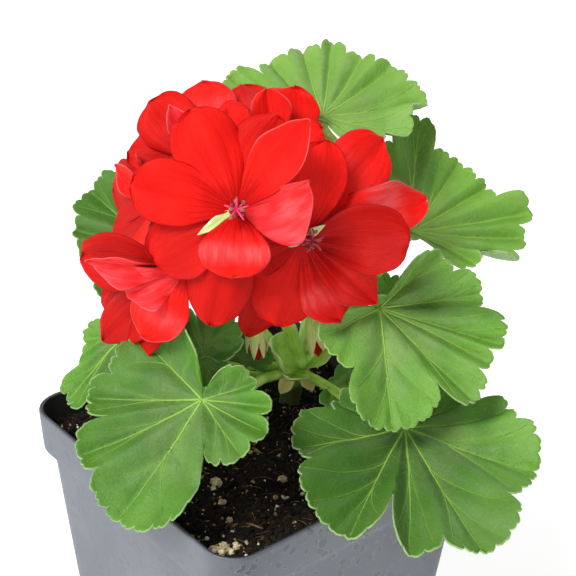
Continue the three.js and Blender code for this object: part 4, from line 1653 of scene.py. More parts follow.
    def segments_of(self, rank: int) -> tuple[Array, Array]:
        """Both ends of every stretch of the veins up to a rank."""
        chosen = [vein.points[::2] for vein in self.veins if vein.rank <= rank]
        return (np.concatenate([p[:-1] for p in chosen]), np.concatenate([p[1:] for p in chosen]))

    def vein_distance(self, flat: Array, rank: int) -> Array:
        """Distance of flat points from the nearest vein.

        Args:
            flat: The points.
            rank: Highest rank of vein that counts.

        Returns:
            The distance of each point.
        """
        a, b = self.segments[rank]
        way = b - a
        length = np.maximum((way ** 2).sum(1), 1e-9)
        best = np.full(len(flat), np.inf)
        for start in range(0, len(flat), self.CHUNK):
            part = flat[start:start + self.CHUNK, None, :] - a
            t = np.clip((part * way).sum(2) / length, 0, 1)
            gap = part - t[..., None] * way
            best[start:start + self.CHUNK] = np.sqrt((gap ** 2).sum(2)).min(1)
        return best

    @staticmethod
    def near_headings(angle: Array, rows: Iterable[tuple[float, float, float]]) -> Array:
        """Adds up bumps that stand round some angles.

        Args:
            angle: Where the sum is wanted.
            rows: Angle, spread and height of each bump.

        Returns:
            The sum at each angle.
        """
        total = np.zeros(len(angle))
        for at, spread, height in rows:
            away = (angle - at + 540) % 360 - 180
            total += height * np.exp(-(away / spread) ** 2)
        return total

    def lift(self, flat: Array) -> Array:
        """Raises flat points to the blade's curved surface.

        Args:
            flat: Points of the flat leaf.

        Returns:
            The points in the blade's frame.
        """
        form = self.form
        rho = np.hypot(flat[:, 0], flat[:, 1])
        angle = np.degrees(np.arctan2(flat[:, 1], flat[:, 0]))
        index, inside = self.span(angle)
        soft = self.soft_reach(angle)
        outward = np.clip(rho / soft, 0, 1.2)
        climb, _ = self.climb(index, inside)
        pleat = self.FOLD * form.pleat * outward ** 1.3
        ridge = pleat * np.cos(np.pi / 2 * climb) * np.minimum(1, soft / self.PLEAT_REACH)
        turn = math.radians(form.bend) + np.radians(self.near_headings(angle, form.curls))
        ridge = ridge + self.near_headings(angle, form.tucks) * outward ** 2
        turn = np.where(np.abs(turn) < 0.01, 0.01, turn)
        level = np.minimum(rho, self.BEND_FROM * soft)
        radius = (1 - self.BEND_FROM) * soft / turn
        arc = (rho - level) / radius
        out = level + radius * np.sin(arc)
        height = radius * (1 - np.cos(arc)) + ridge + form.cup * outward ** 2
        height = height + self.relief(flat, outward, angle)
        way = unit(flat)
        return np.column_stack([way[:, 0] * out, way[:, 1] * out, height])

    def relief(self, flat: Array, outward: Array, angle: Array) -> Array:
        """Small heights: sunken main veins, raised fields between veins, a waved margin.

        Args:
            flat: Points of the flat leaf.
            outward: Share of the way from the leaf's heart to its margin.
            angle: Angle of each point from the midrib.

        Returns:
            The height at each point.
        """
        scale = min(1.0, self.size / 30)
        main, near = self.vein_distance(flat, 0), self.vein_distance(flat, 1)
        fields = 0.9 * (1 - np.exp(-(near / 2.1) ** 2)) - 0.25 * np.exp(-(main / 1.2) ** 2)
        turn = np.radians(angle)
        waves = (np.sin(7 * turn + self.seed) + 0.7 * np.sin(12 * turn + 2.3 * self.seed)) * outward ** 3
        ripple = 0.34 * bump_field(flat[:, 0], flat[:, 1], 3.6, self.seed + 50)
        return scale * (fields * np.minimum(1, outward * 3) + self.form.wave * waves + ripple)

    def grid(self) -> Shape:
        """Lays the blade's surface out tooth by tooth.

        Returns:
            The surface in the blade's frame, with its marks and flat coordinates.
        """
        steps = np.array(self.TOOTH_STEPS)
        angles = np.concatenate([
            start + (k + steps) / teeth * (notch - start)
            for start, notch, teeth in zip(self.starts, self.notches, self.teeth) for k in range(teeth)])
        reach = self.radius(angles)
        share = 1 - (1 - np.linspace(0.045, 1, self.RINGS)) ** 1.25
        rho = share[:, None] * reach[None, :]
        turn = np.radians(angles)[None, :]
        flat = np.stack([rho * np.cos(turn), rho * np.sin(turn)], -1).reshape(-1, 2)
        flat = np.concatenate([flat, [[1e-4, 0]]])
        count = len(angles)
        points = self.lift(flat)
        i = np.arange(count)
        centre = np.stack([np.full(count, len(flat) - 1), i, (i + 1) % count], 1)
        shape = Shape(points, [grid_faces(self.RINGS, count, wrap=True)[:, ::-1], centre], flat=flat)
        away = (1 - share)[:, None] * reach[None, :]
        main = self.vein_distance(flat, 1)
        soft = self.soft_reach(angles)
        turn = np.degrees(np.arctan2(flat[:, 1], flat[:, 0]))
        # painted light and painted shade on parts of the blade, from the rows of shades
        shades = self.near_headings(turn, self.form.shades) * np.minimum(1, np.hypot(*flat.T) / 8)
        return shape.marked(
            edge=np.append(away.ravel(), 9.0), beside=np.exp(-(main / 0.7) ** 2),
            reach=np.append((rho / soft).ravel(), 0.0), vein=0.0, tone=self.form.tone + shades)

    def lift_normals(self, flat: Array, step: float = 0.12) -> Array:
        """Upward directions of the blade's curved surface.

        Args:
            flat: Points of the flat leaf.
            step: Distance over which the slope is taken.

        Returns:
            The direction at each point.
        """
        middle = self.lift(flat)
        east = self.lift(flat + np.array([step, 0])) - middle
        north = self.lift(flat + np.array([0, step])) - middle
        return unit(np.cross(east, north))

    def ridges(self, thickness: float) -> Shape:
        """Raises the veins as slender ridges on both faces of the blade.

        Args:
            thickness: Thickness of the blade.

        Returns:
            The ridges in the blade's frame, with their marks.
        """
        built = []
        for side, rise, last in ((1, self.RISE_ABOVE, 2), (-1, self.RISE_BELOW, 1)):
            for vein in self.veins:
                if vein.rank > last:
                    continue
                way = unit(np.gradient(vein.points, axis=0))
                half = vein.half[:, None]
                across = left_of(way) * half
                flat = np.concatenate([vein.points + across, vein.points, vein.points - across])
                count = len(vein.points)
                normal = self.lift_normals(vein.points) * side
                left, middle, right = self.lift(flat).reshape(3, count, 3)
                crest = thickness / 2 + rise * (half / 0.3) + (0.16 if vein.rank < 2 else 0.03)
                foot = normal * (thickness / 2 - self.VEIN_SUNK)
                loops = np.stack([left + foot, middle + normal * crest, right + foot], 1)
                ridge = lofted(loops if side < 0 else loops[:, ::-1])
                ridge.flat = np.concatenate([flat.reshape(3, count, 2).transpose(1, 0, 2).reshape(-1, 2),
                                             vein.points[[0, -1]]])
                fades = self.VEIN_FADES[vein.rank]
                fade = np.append(np.repeat(np.linspace(*fades, count), 3), fades)
                built.append(ridge.marked(vein=fade, under=float(side < 0), edge=9.0, beside=1.0, reach=0.5,
                                          tone=self.form.tone))
        return Shape.joined(built)

    @cached_property
    def sheet(self) -> Shape:
        """The closed sheet without its veins, in the blade's frame."""
        return self.grid().sheet(LEAF_THICKNESS)

    def build(self) -> Shape:
        """The whole blade, in the plant's frame."""
        return Shape.joined([self.sheet, self.ridges(LEAF_THICKNESS)]).placed(self.form.placement)

    def rim_band(self) -> Shape:
        """The faces along the margin, for the hairs there."""
        blade = self.sheet.placed(self.form.placement)
        return Shape(blade.points, blade.faces[-1:]).marked(grow=1.0)


# tone and shades below are painted light and painted shade, partly the leaves' own lighter and darker green
LEAVES: dict[str, LeafForm] = {
    "leaf_front_left": LeafForm(
        (-10.4, -30.5, 27.3), 48, -20, -31.3, pleat=1.35, bend=10, tone=-0.65,
        shades=((-8, 14, 0.25), (104, 18, 0.3)), stalk=((4, 4, 13), (-4, -18, 19)),
        lobes=((-112, 27, -84, 26), (-70, 31.6, -58, 26), (-44, 35.6, -33.7, 32), (-12, 38, 28, 15),
               (58, 19.6, 72, 18), (84, 20.4, 95, 18), (104, 19.4, 118, 15), (127, 15.2, 172, 3.5),
               (186, 3.4, 200, 3.4))),
    "leaf_front_right": LeafForm(
        (43.4, -15, 10.6), 18, 20, -2, pleat=1.5, cup=1, bend=6, curls=((98, 11, 20),),
        tone=-0.5, shades=((-60, 60, -0.6), (88, 20, 0.9)), stalk=((24, 10, 7), (36, -6, 7)),
        lobes=((-103, 21, -89, 21.5), (-66, 33.4, -54, 33), (-20, 43.6, -9, 25), (1, 44.2, 13, 39.5),
               (27, 44.8, 50.5, 34.5), (72, 37.5, 95, 31), (104, 30, 117, 24), (125, 24, 155, 4.5),
               (195, 4, 240, 4.5))),
    "leaf_right": LeafForm(
        (35.2, -5, 42.2), 52, 15, 10.2, pleat=1.35, cup=1, bend=4, tone=0.25,
        tucks=((76, 7, 2.6), (91, 6, -2.4)), shades=((84, 9, -0.9),), stalk=((24, 16, 22), (33, 4, 36)),
        lobes=((-64, 20, -31, 19.7), (0, 33.7, 30, 24.5), (41, 36, 54, 32), (60, 33.6, 65.5, 31.3),
               (70, 35, 87, 27), (95, 29, 113, 23), (127, 23.2, 146, 4), (190, 3.4, 266, 3.4))),
    "leaf_back_right": LeafForm(
        (44, 15, 55.5), 40, 20, 109.5, pleat=1.2, cup=1, curls=((8, 9, 22), (-34, 8, 30)), tone=0.6,
        shades=((75, 16, -1.0),), stalk=((27, 25, 24), (40, 20, 46)),
        lobes=((-38, 20.5, -32, 20.8), (-27, 30.6, -21.5, 29.5), (-12, 32.5, -6, 31), (1, 36, 13, 27),
               (22, 27.2, 29.6, 25.4), (44, 27.5, 62.5, 27.4), (71, 36.6, 90, 28), (105, 27, 125, 20),
               (150, 20, 190, 4), (245, 3.4, 298, 3.4))),
    "leaf_top": LeafForm(
        (18.2, 25, 84.3), 18, 0, 167.4, pleat=0.95, cup=0.5, bend=4, tone=0.75,
        tucks=((-78, 6, 1.8), (-66, 6, -1.6)), stalk=((20, 35, 30), (29, 36, 62)),
        lobes=((-118, 20, -106, 20), (-95, 25, -73, 23.5), (-62, 30.3, -47, 28.3), (-30, 29.2, -22.4, 25.8),
               (-11, 28.7, -1.5, 28), (8, 32, 13.8, 28.5), (24, 28.8, 36, 25.8), (46, 27.2, 60.5, 23.3),
               (74, 30.5, 96, 23), (115, 24, 150, 5), (180, 3.6, 210, 4))),
    "leaf_left": LeafForm(
        (-26.4, 8, 51.4), 45, -30, -124.5, cup=1, bend=4, tone=-0.9, stalk=((-2, 26, 22), (-22, 18, 42)),
        lobes=((-14, 28.8, 2.9, 25.4), (12, 24.8, 20, 22.6), (29, 22, 50, 15), (80, 20, 120, 12),
               (160, 16, 200, 5), (225, 4, 250, 4.5), (275, 16, 315, 12))),
    "leaf_low_left": LeafForm(
        (-34.7, 5, 25.4), 55, -40, -83.4, pleat=1.4, tone=-0.2, shades=((35, 25, -0.6),),
        stalk=((-6, 21, 9), (-28, 14, 18)),
        lobes=((-35, 14.5, -6, 17.2), (8, 26, 26, 22), (45, 21, 90, 10), (120, 14, 160, 6),
               (190, 3.5, 220, 4), (255, 12, 290, 8))),
    "leaf_back": LeafForm(
        (16, 56, 24), 24, 175, 178, bend=-10, stalk=((16, 34, 15), (17, 46, 22)),
        lobes=((-120, 22, -96, 18), (-76, 26, -56, 22), (-34, 28, -18, 24), (0, 29, 18, 24),
               (36, 28, 56, 22), (76, 26, 96, 18), (120, 22, 165, 4), (180, 3.4, 195, 4))),
    "leaf_middle_right": LeafForm(
        (38, 13, 30), 40, 30, 120, pleat=1, stalk=((24, 20, 14), (34, 16, 24)), thick=1.1,
        lobes=((-60, 14, -38, 11), (-20, 16.5, 0, 13), (20, 16.5, 38, 11), (60, 14, 120, 5),
               (180, 3, 240, 5))),
    "young_leaf_fan": LeafForm(
        (-12, 0, 22), 60, -10, -150, bend=20, tone=-0.45, stalk=((4, 12, 12), (-8, 4, 18)), thick=1,
        young=True,
        lobes=((-50, 14.5, -36, 11), (-20, 17, -6, 12), (10, 15.5, 26, 11), (42, 12, 110, 3.5),
               (180, 2.6, 240, 3.5))),
    "young_leaf_round": LeafForm(
        (-11, -4, 22), 50, 0, -10, pleat=0.8, tone=-0.5, stalk=((3, 10, 11), (-6, 1, 18)), thick=0.9,
        young=True,
        lobes=((-60, 7, -30, 6), (0, 8, 30, 6), (60, 7, 120, 3), (180, 2.4, 240, 3))),
    "young_leaf_dark": LeafForm(
        (-1.5, 8, 16.5), 50, 10, 170, pleat=1, bend=-10, tone=-0.7, stalk=((7, 15, 11),), thick=1, young=True,
        lobes=((-60, 9, -32, 7), (0, 10.5, 32, 7), (60, 9, 120, 3), (180, 2.4, 240, 3))),
    "young_leaf_low": LeafForm(
        (25, 12, 7), 25, 10, 60, pleat=1, stalk=((19, 17, 5),), thick=1, young=True,
        lobes=((-70, 9, -44, 7), (-18, 11.5, 6, 9), (34, 11, 60, 7), (84, 8, 130, 3), (190, 2.6, 250, 3))),
}


class Outline(Enum):
    """Outlines of petals and of the small leaves round a flower."""

    PETAL = "petal"
    SEPAL = "sepal"


@dataclass(frozen=True)
class PetalForm:
    """A petal, in millimetres and degrees.

    Attributes:
        turn: Degrees round the face from its right side, anticlockwise.
        length: Length along its middle.
        width: Greatest width.
        rise: Degrees that it rises out of the face at its claw.
        curl: Degrees that it rises further by its tip.
        cup: Degrees that each side closes by.
        fold: Degrees of the crease along its middle.
        wave: Height of the ripples along its edges.
        bow: How far its tip is swept to its left.
        point: How pointed its tip is, from 0 to 1.
        over: Whether its upper face takes the pink of its lower face as a painted satin sheen; the petal
            itself is not turned.
        rim: How strong the painted highlight along its edge is, from 0 to 1.
        deep: Painted shade that deepens its red, partly a deeper red of its own, from 0 to 1.
        crest: How strong the painted satin highlight is where it bends, from 0 to 1.
        skew: How much wider its right half is than its left, from -1 to 1.
    """

    turn: float
    length: float
    width: float
    rise: float = 20.0
    curl: float = -20.0
    cup: float = 0.0
    fold: float = 0.0
    wave: float = 0.0
    bow: float = 0.0
    point: float = 0.0
    over: bool = False
    rim: float = 0.0
    deep: float = 0.0
    crest: float = 0.0
    skew: float = 0.0


class Petal:
    """A petal's or a sepal's curved sheet."""

    CLAW_START = 1.2
    CLAW_SHARE = 0.16
    WIDEST = 0.62

    def __init__(self, form: PetalForm, seed: int, outline: Outline = Outline.PETAL) -> None:
        """Keeps the form.

        Args:
            form: The petal's form.
            seed: Seed of its small irregularities.
            outline: Which outline it has.
        """
        self.form = form
        self.seed = seed
        self.outline = outline

    def share(self, s: Array) -> Array:
        """Half width along the petal.

        Args:
            s: Shares of the length.

        Returns:
            The half width there, as a share of the greatest.
        """
        if self.outline is Outline.SEPAL:
            return np.where(s < 0.35, 0.55 + 0.45 * np.sin(np.pi / 2 * np.minimum(s, 0.35) / 0.35),
                            np.maximum(0.02, 1 - ((np.maximum(s, 0.35) - 0.35) / 0.65) ** 1.5))
        swell = np.sin(np.pi / 2 * np.minimum(s / self.WIDEST, 1)) ** 1.15
        low = self.CLAW_SHARE + (1 - self.CLAW_SHARE) * swell
        past = np.maximum(s - self.WIDEST, 0) / (1 - self.WIDEST)
        round_off = np.maximum(4e-4, 1 - past ** (2.2 - self.form.point)) ** (0.5 + 0.4 * self.form.point)
        return np.where(s < self.WIDEST, low, round_off)

    def surface(self, s: Array, v: Array) -> Array:
        """Points of the curved surface.

        Args:
            s: Shares of the length.
            v: Shares of the half width, from -1 to 1.

        Returns:
            The points in the floret's frame.
        """
        form = self.form
        share = self.share(s)
        if self.outline is Outline.PETAL:
            ragged = bump_field(s * 3.1 + np.sign(v) * 7.3, np.zeros_like(s), 0.45, self.seed + 3)
            share = share * (1 + 0.035 * ragged * np.minimum(1, 3 * s))
            uneven = bump_field(v * share * 1.9 + 9.1, np.zeros_like(s), 0.5, self.seed + 4)
            s = s * (1 + 0.02 * uneven * s ** 2)
        half = form.width / 2 * share * (1 - form.skew * np.sign(v))
        bend = math.radians(form.curl if abs(form.curl) >= 1 else 1)
        base = math.radians(form.rise)
        slope = base + bend * s
        out = self.CLAW_START + form.length / bend * (np.sin(slope) - math.sin(base))
        lift = form.length / bend * (math.cos(base) - np.cos(slope))
        firm = np.minimum(1, 1.6 * share)
        close = math.radians(form.cup if abs(form.cup) >= 1 else 1) * firm
        crease = math.radians(form.fold) * firm
        side = np.abs(v)
        across = np.sign(v) * half * (np.sin(crease + close * side) - np.sin(crease)) / close
        ripple = form.wave * side ** 2 * np.sin(9 * s + 2 * np.sign(v)) * share
        raised = half * (np.cos(crease) - np.cos(crease + close * side)) / close
        raised = raised + ripple + self.relief(s, v, half)
        reach = out - raised * np.sin(slope)
        turn = math.radians(form.turn)
        swept = form.bow * s ** 2
        lean = turn + np.arctan2(2 * form.bow * s, form.length)
        return np.stack([reach * math.cos(turn) - swept * math.sin(turn) - across * np.sin(lean),
                         reach * math.sin(turn) + swept * math.cos(turn) + across * np.cos(lean),
                         lift + raised * np.cos(slope)], -1)

    def relief(self, s: Array, v: Array, half: Array) -> Array:
        """Small heights: a shallow middle groove, soft folds along the petal, an uneven edge.

        Args:
            s: Shares of the length.
            v: Shares of the half width.
            half: The half width at each place.

        Returns:
            The height at each place.
        """
        scale = self.form.width / 18
        groove = -0.4 * np.exp(-(v / 0.12) ** 2) * np.sin(np.pi * np.clip(s, 0, 1)) ** 0.7
        folds = 0.42 * np.sin(5.1 * v + 1.3 * self.seed) * s
        folds = folds + 0.16 * np.sin(11 * v + self.seed) * (1 - s) * 4 * s
        edge = 0.75 * np.abs(v) ** 4 * np.sin(6.5 * s + 1.9 * self.seed + np.sign(v)) * np.minimum(1, 2 * s)
        dents = 0.5 * bump_field(s * self.form.length, v * half, 6.0, self.seed + 7)
        return scale * (groove + folds + edge + dents * s)

    def build(self, rows: int = 30, columns: int = 20) -> Shape:
        """Builds the petal as a closed thin sheet.

        Args:
            rows: Points along it.
            columns: Faces across it.

        Returns:
            The sheet in the floret's frame, with its marks.
        """
        s = 1 - (1 - np.linspace(0, 1, rows)) ** 1.45
        v = np.sin(np.linspace(-1, 1, columns + 1) * np.pi / 2 * 0.86) / math.sin(np.pi / 2 * 0.86)
        ss, vv = np.meshgrid(s, v, indexing="ij")
        ss, vv = ss.ravel(), vv.ravel()
        half = self.form.width / 2 * self.share(ss)
        shape = Shape(self.surface(ss, vv), [grid_faces(rows, columns + 1)[:, ::-1]],
                      flat=np.column_stack([ss * self.form.length + 3 * self.seed, vv * half]))
        away = np.minimum(half * (1 - np.abs(vv)), (1 - ss) * self.form.length)
        shape.marked(along=ss, across=vv, edge=away)
        # rim and crest carry the painted highlights, deep the painted shade
        shape.marked(rim=self.form.rim, deep=self.form.deep, crest=self.form.crest)
        sheet = shape.sheet(PETAL_THICKNESS * (0.55 + 0.45 * np.minimum(1, away / 1.5)))
        # painted sheen: the faces of a petal marked over swap their colours, so the upper face shows the
        # lower face's pink
        if self.form.over:
            sheet.marks["under"] = 1 - sheet.marks["under"]
        return sheet


@dataclass(frozen=True)
class FloretForm:
    """An open floret: middle, lean and heading of its face, and its petals."""

    at: Point
    tilt: float
    facing: float
    petals: tuple[PetalForm, ...]

    @property
    def placement(self) -> Placement:
        """The floret's frame."""
        return Placement.of_face(self.at, self.tilt, self.facing)


ROUND_PETALS = (PetalForm(90, 20, 15, 22, -20, -10), PetalForm(18, 19, 15, 22, -20, -10),
                PetalForm(306, 20, 15, 20, -20), PetalForm(234, 19, 15, 20, -20),
                PetalForm(162, 20, 15, 22, -20, -10))

FLORETS: dict[str, FloretForm] = {
    "floret_front": FloretForm((-3, -18, 75.5), 65, 2, (
        PetalForm(116, 26.5, 17.5, 24, -24, -20),
        PetalForm(46, 28, 13.5, 28, -14, 10, fold=14, bow=3, point=0.6, rim=0.6, skew=-0.15),
        PetalForm(66, 24, 18, 12, -10, deep=0.4),
        PetalForm(167, 26.5, 16.5, 24, -24, -15),
        PetalForm(213, 23.5, 18, 4, -14, deep=0.5),
        PetalForm(268, 17.2, 18, 46, -66, -14, wave=0.6, rim=0.2, crest=0.55),
        PetalForm(258, 28.5, 18, 4, -20, -35, deep=0.75),
        PetalForm(11, 19.5, 15, 24, 6, 20, bow=4, point=0.8, over=True, rim=0.3, crest=0.3, skew=0.72))),
    "floret_right": FloretForm((14, -14, 66.5), 72, 20, (
        PetalForm(-4, 26, 20, 16, 16, 40, deep=0.9),
        PetalForm(9, 35, 17, 2, -12, -20, fold=8, wave=4.5, point=0.45, rim=0.8, crest=0.8),
        PetalForm(45, 33, 18.5, -8, -4, 10, bow=-2, rim=0.3, crest=0.15),
        PetalForm(74, 24, 16, 6, -6, 14),
        PetalForm(251, 23.5, 19, 0, -20, -30, deep=0.45),
        PetalForm(240, 30, 12, -14, -10, -10, point=0.3, deep=0.8),
        PetalForm(314, 26.5, 14, 4, -12, -20, fold=18, wave=0.8, point=0.8, rim=0.3, deep=0.5, crest=0.1),
        PetalForm(292, 24, 16, 0, -14, -10, wave=1, point=0.2, rim=0.2, deep=0.5, crest=0.35),
        PetalForm(182, 17, 16, 4, 0, 6, deep=0.9))),
    "floret_low_left": FloretForm((-15.6, -20, 59), 95, -32, (
        PetalForm(177, 27, 17.5, 24, -8, 20, deep=0.7),
        PetalForm(171, 24, 11.5, 38, -8, 10, fold=34, wave=1, point=0.8, over=True, rim=0.6, crest=0.2),
        PetalForm(205, 15.5, 12.5, 44, -8, 15, fold=12, wave=2.5, point=0.3, over=True, rim=0.6, crest=0.25),
        PetalForm(244, 20, 17, 36, -14, -20, rim=0.3, crest=0.35),
        PetalForm(216, 29, 14, 14, -10, 20, deep=0.7),
        PetalForm(227, 33, 14, 17, -6, 24, wave=1.5, point=0.2, deep=0.8),
        PetalForm(243, 33.5, 11, 20, -10, 24, point=0.8, deep=0.8))),
    "floret_top_left": FloretForm((-13.4, 0, 81.4), 40, -40, (
        PetalForm(118, 20, 19, 14, 0, -14, rim=0.3, crest=0.3),
        PetalForm(160, 20, 17, 20, 8, 30, deep=0.5),
        PetalForm(205, 18, 15, 20, 0, 10, deep=0.6),
        PetalForm(60, 17, 15, 20, -10),
        PetalForm(142, 15, 8, 50, 10, 10, fold=20, point=0.8, over=True, rim=0.6))),
    "floret_top_right": FloretForm((5.8, 4, 82.9), 28, 20, (
        PetalForm(62, 19.5, 18, 12, -6, -10),
        PetalForm(105, 19, 18, 14, 0, -20, rim=0.2, deep=0.2, crest=0.4),
        PetalForm(14, 13, 15, 14, -10, -10),
        PetalForm(150, 16, 15, 24, 0, 10),
        PetalForm(92, 15, 12, 36, 0, 10, fold=15, point=0.4, rim=0.5))),
    "floret_left": FloretForm((-25, -2, 69.5), 82, -70, (
        PetalForm(168, 17, 9, 30, -10, 10, fold=20, point=0.7, rim=0.6),
        PetalForm(190, 20, 17, 24, -10, deep=0.8),
        PetalForm(232, 20, 15, 24, -10, deep=0.8),
        PetalForm(75, 14, 14, 34, -10),
        PetalForm(300, 15, 13, 30, -10))),
    "floret_back": FloretForm((7, 22, 60), 78, 164, ROUND_PETALS),
    "floret_back_left": FloretForm((-12, 20, 69), 74, -150, ROUND_PETALS),
}


@dataclass(frozen=True)
class BudForm:
    """A nodding bud: its base, the way it hangs and its length."""

    at: Point
    tilt: float
    facing: float
    length: float

    @property
    def placement(self) -> Placement:
        """The bud's frame."""
        return Placement.of_face(self.at, self.tilt, self.facing)


BUDS: dict[str, BudForm] = {
    "bud_left": BudForm((1.6, 6, 32), 176, 90, 12),
    "bud_right": BudForm((17.4, 8, 32), 170, 80, 11),
    "bud_back": BudForm((-4, 16, 38), 160, -140, 12),
}


@dataclass
class Foliage:
    """The stem with its bracts and leaf stalks, the blades, and their hairs."""

    wardrobe: Wardrobe
    seat: Placement
    bracts: tuple[PetalForm, ...] = (
        PetalForm(172, 16, 15, 54, 20, 60),
        PetalForm(28, 15.5, 13, 44, -4, 62),
        PetalForm(250, 10, 11, 30, 46, 50),
        PetalForm(236, 8, 4.5, -14, -20, 30, point=0.7),
        PetalForm(306, 7, 4.5, 4, -30, 30, point=0.7))
    stem_radii: tuple[float, float] = (3.4, 2.8)
    stem_depth: float = 20.0

    def stalk(self, form: LeafForm) -> Shape:
        """The stalk of a leaf, from inside the stem to just under the blade.

        Args:
            form: The leaf's form.

        Returns:
            The closed stalk.
        """
        foot, head = np.array(STEM_FOOT), np.array(STEM_HEAD)
        root = foot + 0.9 * (head - foot)
        ends = [form.placement.spot(-2 * form.thick), form.placement.spot(-LEAF_THICKNESS / 2)]
        route = np.array([root, *form.stalk, *ends])
        return tube(route, (form.thick, 0.8 * form.thick), swell=(0.35, 0.25), flute=0.03)

    def stems(self) -> tuple[Shape, Shape]:
        """Builds the stem and what grows from it but the blades.

        Returns:
            The stem with every leaf stalk, and the bracts at its head.
        """
        foot = (*STEM_FOOT[:2], STEM_FOOT[2] - self.stem_depth)
        stem = tube(np.array([foot, STEM_FOOT, STEM_HEAD]), self.stem_radii, 18, 30, (0, 0.15), 0.04)
        # the lower stem near black by the mark wood: partly brown wood, partly painted shade
        stem.marked(wood=0.92 * np.clip((0.93 - stem.marks["along"]) / 0.12, 0, 1))
        stalks = [self.stalk(form) for form in LEAVES.values()]
        face = Placement.of_face((STEM_HEAD[0], STEM_HEAD[1] - 1, STEM_HEAD[2]), 35, 0)
        bracts = []
        for k, form in enumerate(self.bracts):
            bract = Petal(form, 40 + k).build(26, 18).placed(face)
            bracts.append(bract.marked(
                pale=0.75 * np.exp(-(bract.marks["edge"] / 0.8) ** 2),
                around=0.5 + 0.5 * bract.marks["across"], dry=0.85 if form.point else 0.0))
        return Shape.joined([stem, *stalks]), Shape.joined(bracts)

    def build(self) -> None:
        """Makes the stems, the blades and the hairs."""
        stems, bracts = (shape.placed(self.seat) for shape in self.stems())
        Piece("stem_and_stalks", Slot.STALK, ("stems",)).from_shape(stems, self.wardrobe.stalk)
        Piece("stem_bracts", Slot.STALK, ("stems",)).from_shape(bracts, self.wardrobe.stalk)
        rims = []
        for k, (name, form) in enumerate(LEAVES.items()):
            blade = LeafBlade(form, k + 1)
            slot = Slot.YOUNG if form.young else Slot.LEAF
            material = self.wardrobe.young if form.young else self.wardrobe.leaf
            Piece(f"{name}_blade", slot, (name,)).from_shape(blade.build().placed(self.seat), material)
            rims.append(blade.rim_band().placed(self.seat))
        hairs = Piece("stalk_hairs", Slot.STALK, ("stems",))
        STALK_HAIRS.strew(stems.marked(grow=1.0), hairs, self.wardrobe.hair)
        fringe = Piece("leaf_margin_hairs", Slot.LEAF, tuple(LEAVES))
        MARGIN_HAIRS.strew(Shape.joined(rims), fringe, self.wardrobe.hair)


